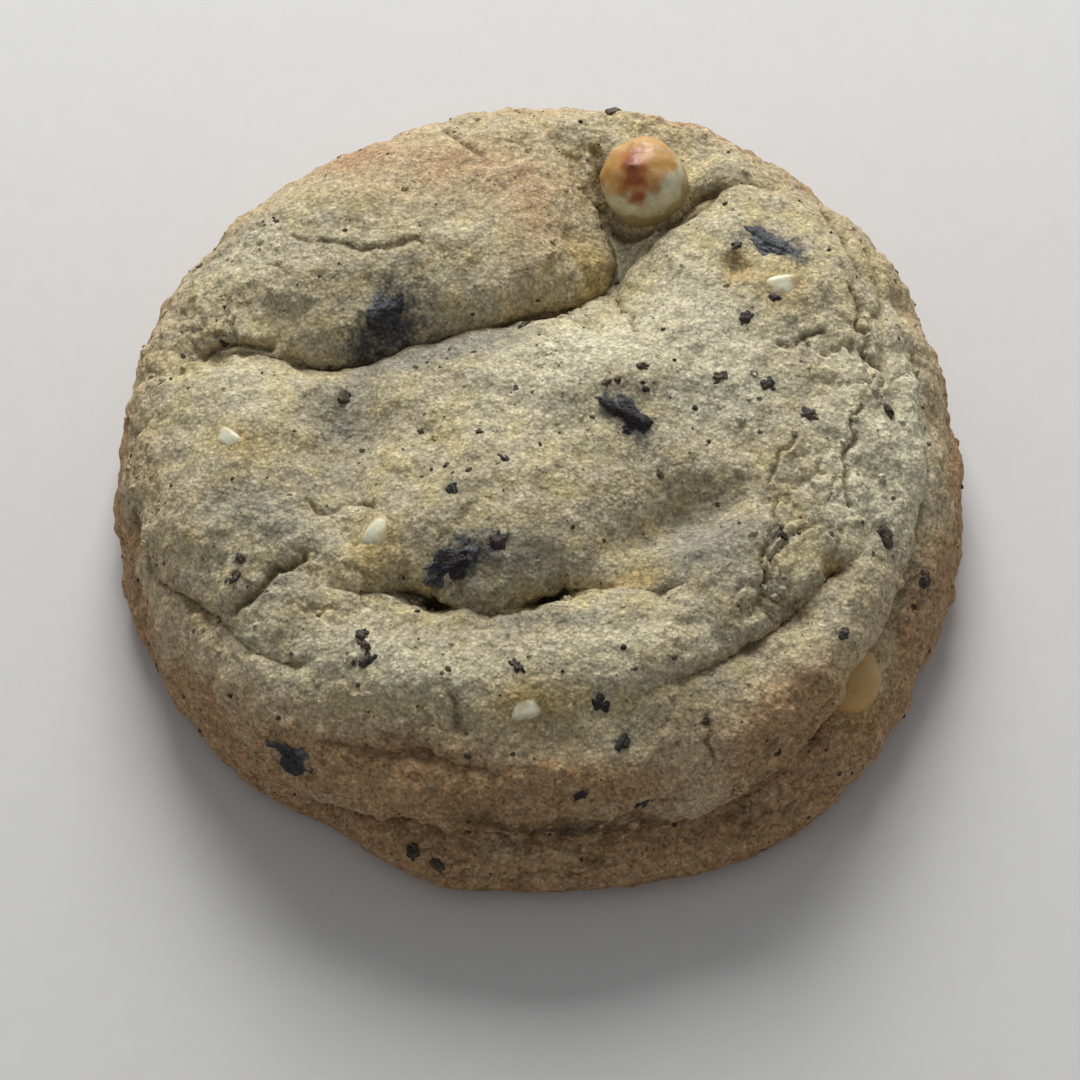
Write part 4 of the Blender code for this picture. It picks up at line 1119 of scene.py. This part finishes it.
for number, (u, v, half) in enumerate(FUSED_BITS + SMALL_BITS):
    point, normal = on_surface(u, v)
    sizes = half * dice.uniform((0.95, 0.7, 0.6), (1.35, 1.05, 0.85))
    turn = dice.uniform(0, FULL_TURN)
    add_crumb(bits, point, normal, sizes, turn, number + 1, BIT_SINK * half, subdivisions=4, fine=0.10)
dark_bits = add_dark_pile(bits, "dark_bits", 0.35, 0.8, 2.5, 51)
print("dark bits have", len(dark_bits.data.polygons), "faces")

# %% Where grains may lie
face_points = get_all(dough.data.polygons, "center", 3) / MM
face_normals = get_all(dough.data.polygons, "normal", 3)
first_vertex = np.array([p.vertices[0] for p in dough.data.polygons])
face_tints = {}
for name in ("bake", "dust", "depth"):
    face_tints[name] = get_all(dough.data.color_attributes[name].data, "color", 4)[first_vertex, :3]
face_crevice = face_tints["depth"][:, 0] + face_tints["depth"][:, 1]
on_top = (face_normals[:, 2] > -0.2) & (face_points[:, 2] > 2)


def drawn_faces(count, weight):
    weight = np.where(on_top, weight, 0)
    return dice.choice(len(weight), count, replace=False, p=weight / weight.sum())


def grain_pile(faces, smallest, spread, power, squeeze, sink, subdivisions, fine=0.0):
    """A crumb on each of these faces. The higher the power, the fewer of them are large."""
    pile = bmesh.new()
    for number, face in enumerate(faces):
        half = smallest + spread * dice.random() ** power
        sizes = half * dice.uniform(1 - squeeze, 1 + squeeze, 3)
        point, normal = Vector(face_points[face]), Vector(face_normals[face])
        add_crumb(pile, point, normal, sizes, 0.3 * number, number, sink * half, subdivisions, fine)
    return pile


# %% Dust of dark biscuit and loose crumbs of dough
DUST_GRAINS, DOUGH_CRUMBS = 340, 420
dust_faces = drawn_faces(DUST_GRAINS, np.ones(len(face_points)))
dust = grain_pile(dust_faces, 0.09, 0.28, power=3, squeeze=0.3, sink=0.35, subdivisions=2)
dark_dust = add_dark_pile(dust, "dark_dust", 0.5, 0.9, 3, 53)

crumb_faces = drawn_faces(DOUGH_CRUMBS, 0.10 + face_crevice)
loose = grain_pile(crumb_faces, 0.14, 0.40, power=2, squeeze=0.25, sink=0.2, subdivisions=3, fine=0.1)
loose_mesh = to_mesh(loose, "loose_crumbs")
corners_each = len(loose_mesh.vertices) // DOUGH_CRUMBS
# Loose crumbs get a fifth of the crevice tone and of the painted crevice and crack shade.
face_tints["depth"] *= (0.2, 0.2, 1)  # a crumb lies over the crevice, not in it
for name, tints in face_tints.items():
    keep_colour(loose_mesh, name, *np.repeat(tints[crumb_faces], corners_each, axis=0).T)
loose_crumbs = add_piece(loose_mesh, "loose_crumbs", "baked_dough")
loose_crumbs.data.materials.append(dough.data.materials[0])
print("dust", len(dark_dust.data.polygons), "and loose crumbs", len(loose_crumbs.data.polygons), "faces")

# %% [markdown]
# ## Floor and light
# The photo's light is a large soft source behind the cookie, a little to the left: the top is bright, and the
# front of every lobe lies in soft shade. One big area lamp does that. A weak even sky keeps the shade open,
# and the floor is plain and pale.

# %% Floor
FLOOR_SIZE = 3.0
floor_shape = bmesh.new()
bmesh.ops.create_grid(floor_shape, x_segments=1, y_segments=1, size=FLOOR_SIZE / 2 / MM)
bmesh.ops.translate(floor_shape, vec=(0, 0, -0.02), verts=floor_shape.verts)
floor = bpy.data.objects.new("floor", to_mesh(floor_shape, "floor"))
bpy.context.scene.collection.objects.link(floor)
paper = Recipe("pale_paper")
paper_tone = paper.mix(paper.noise(3, 1), srgb(226, 225, 222), srgb(222, 221, 219))
paper_finish = paper.ramp(paper.noise(1, 3), 0.3, 0.7, 0.85, 0.95)
floor.data.materials.append(paper.finish(Base_Color=paper_tone, Roughness=paper_finish))

# %% Light
WINDOW_PLACE = Vector((-0.03, 0.573, 0.40))
WINDOW_SIZE, WINDOW_POWER = 0.38, 5.2
SKY_TINT, SKY_STRENGTH = (0.95, 0.97, 1.0, 1), 0.27

window = bpy.data.lights.new("window", "AREA")
window.size, window.energy = WINDOW_SIZE, WINDOW_POWER
lamp = bpy.data.objects.new("window", window)
lamp.location = WINDOW_PLACE
lamp.rotation_euler = (-WINDOW_PLACE).to_track_quat("-Z", "Y").to_euler()
bpy.context.scene.collection.objects.link(lamp)
sky = bpy.data.worlds.new("sky")
sky.use_nodes = True
backdrop = sky.node_tree.nodes["Background"].inputs
backdrop[0].default_value, backdrop[1].default_value = SKY_TINT, SKY_STRENGTH
bpy.context.scene.world = sky
bpy.context.scene.view_settings.view_transform = "Standard"
print("one window and an even sky")
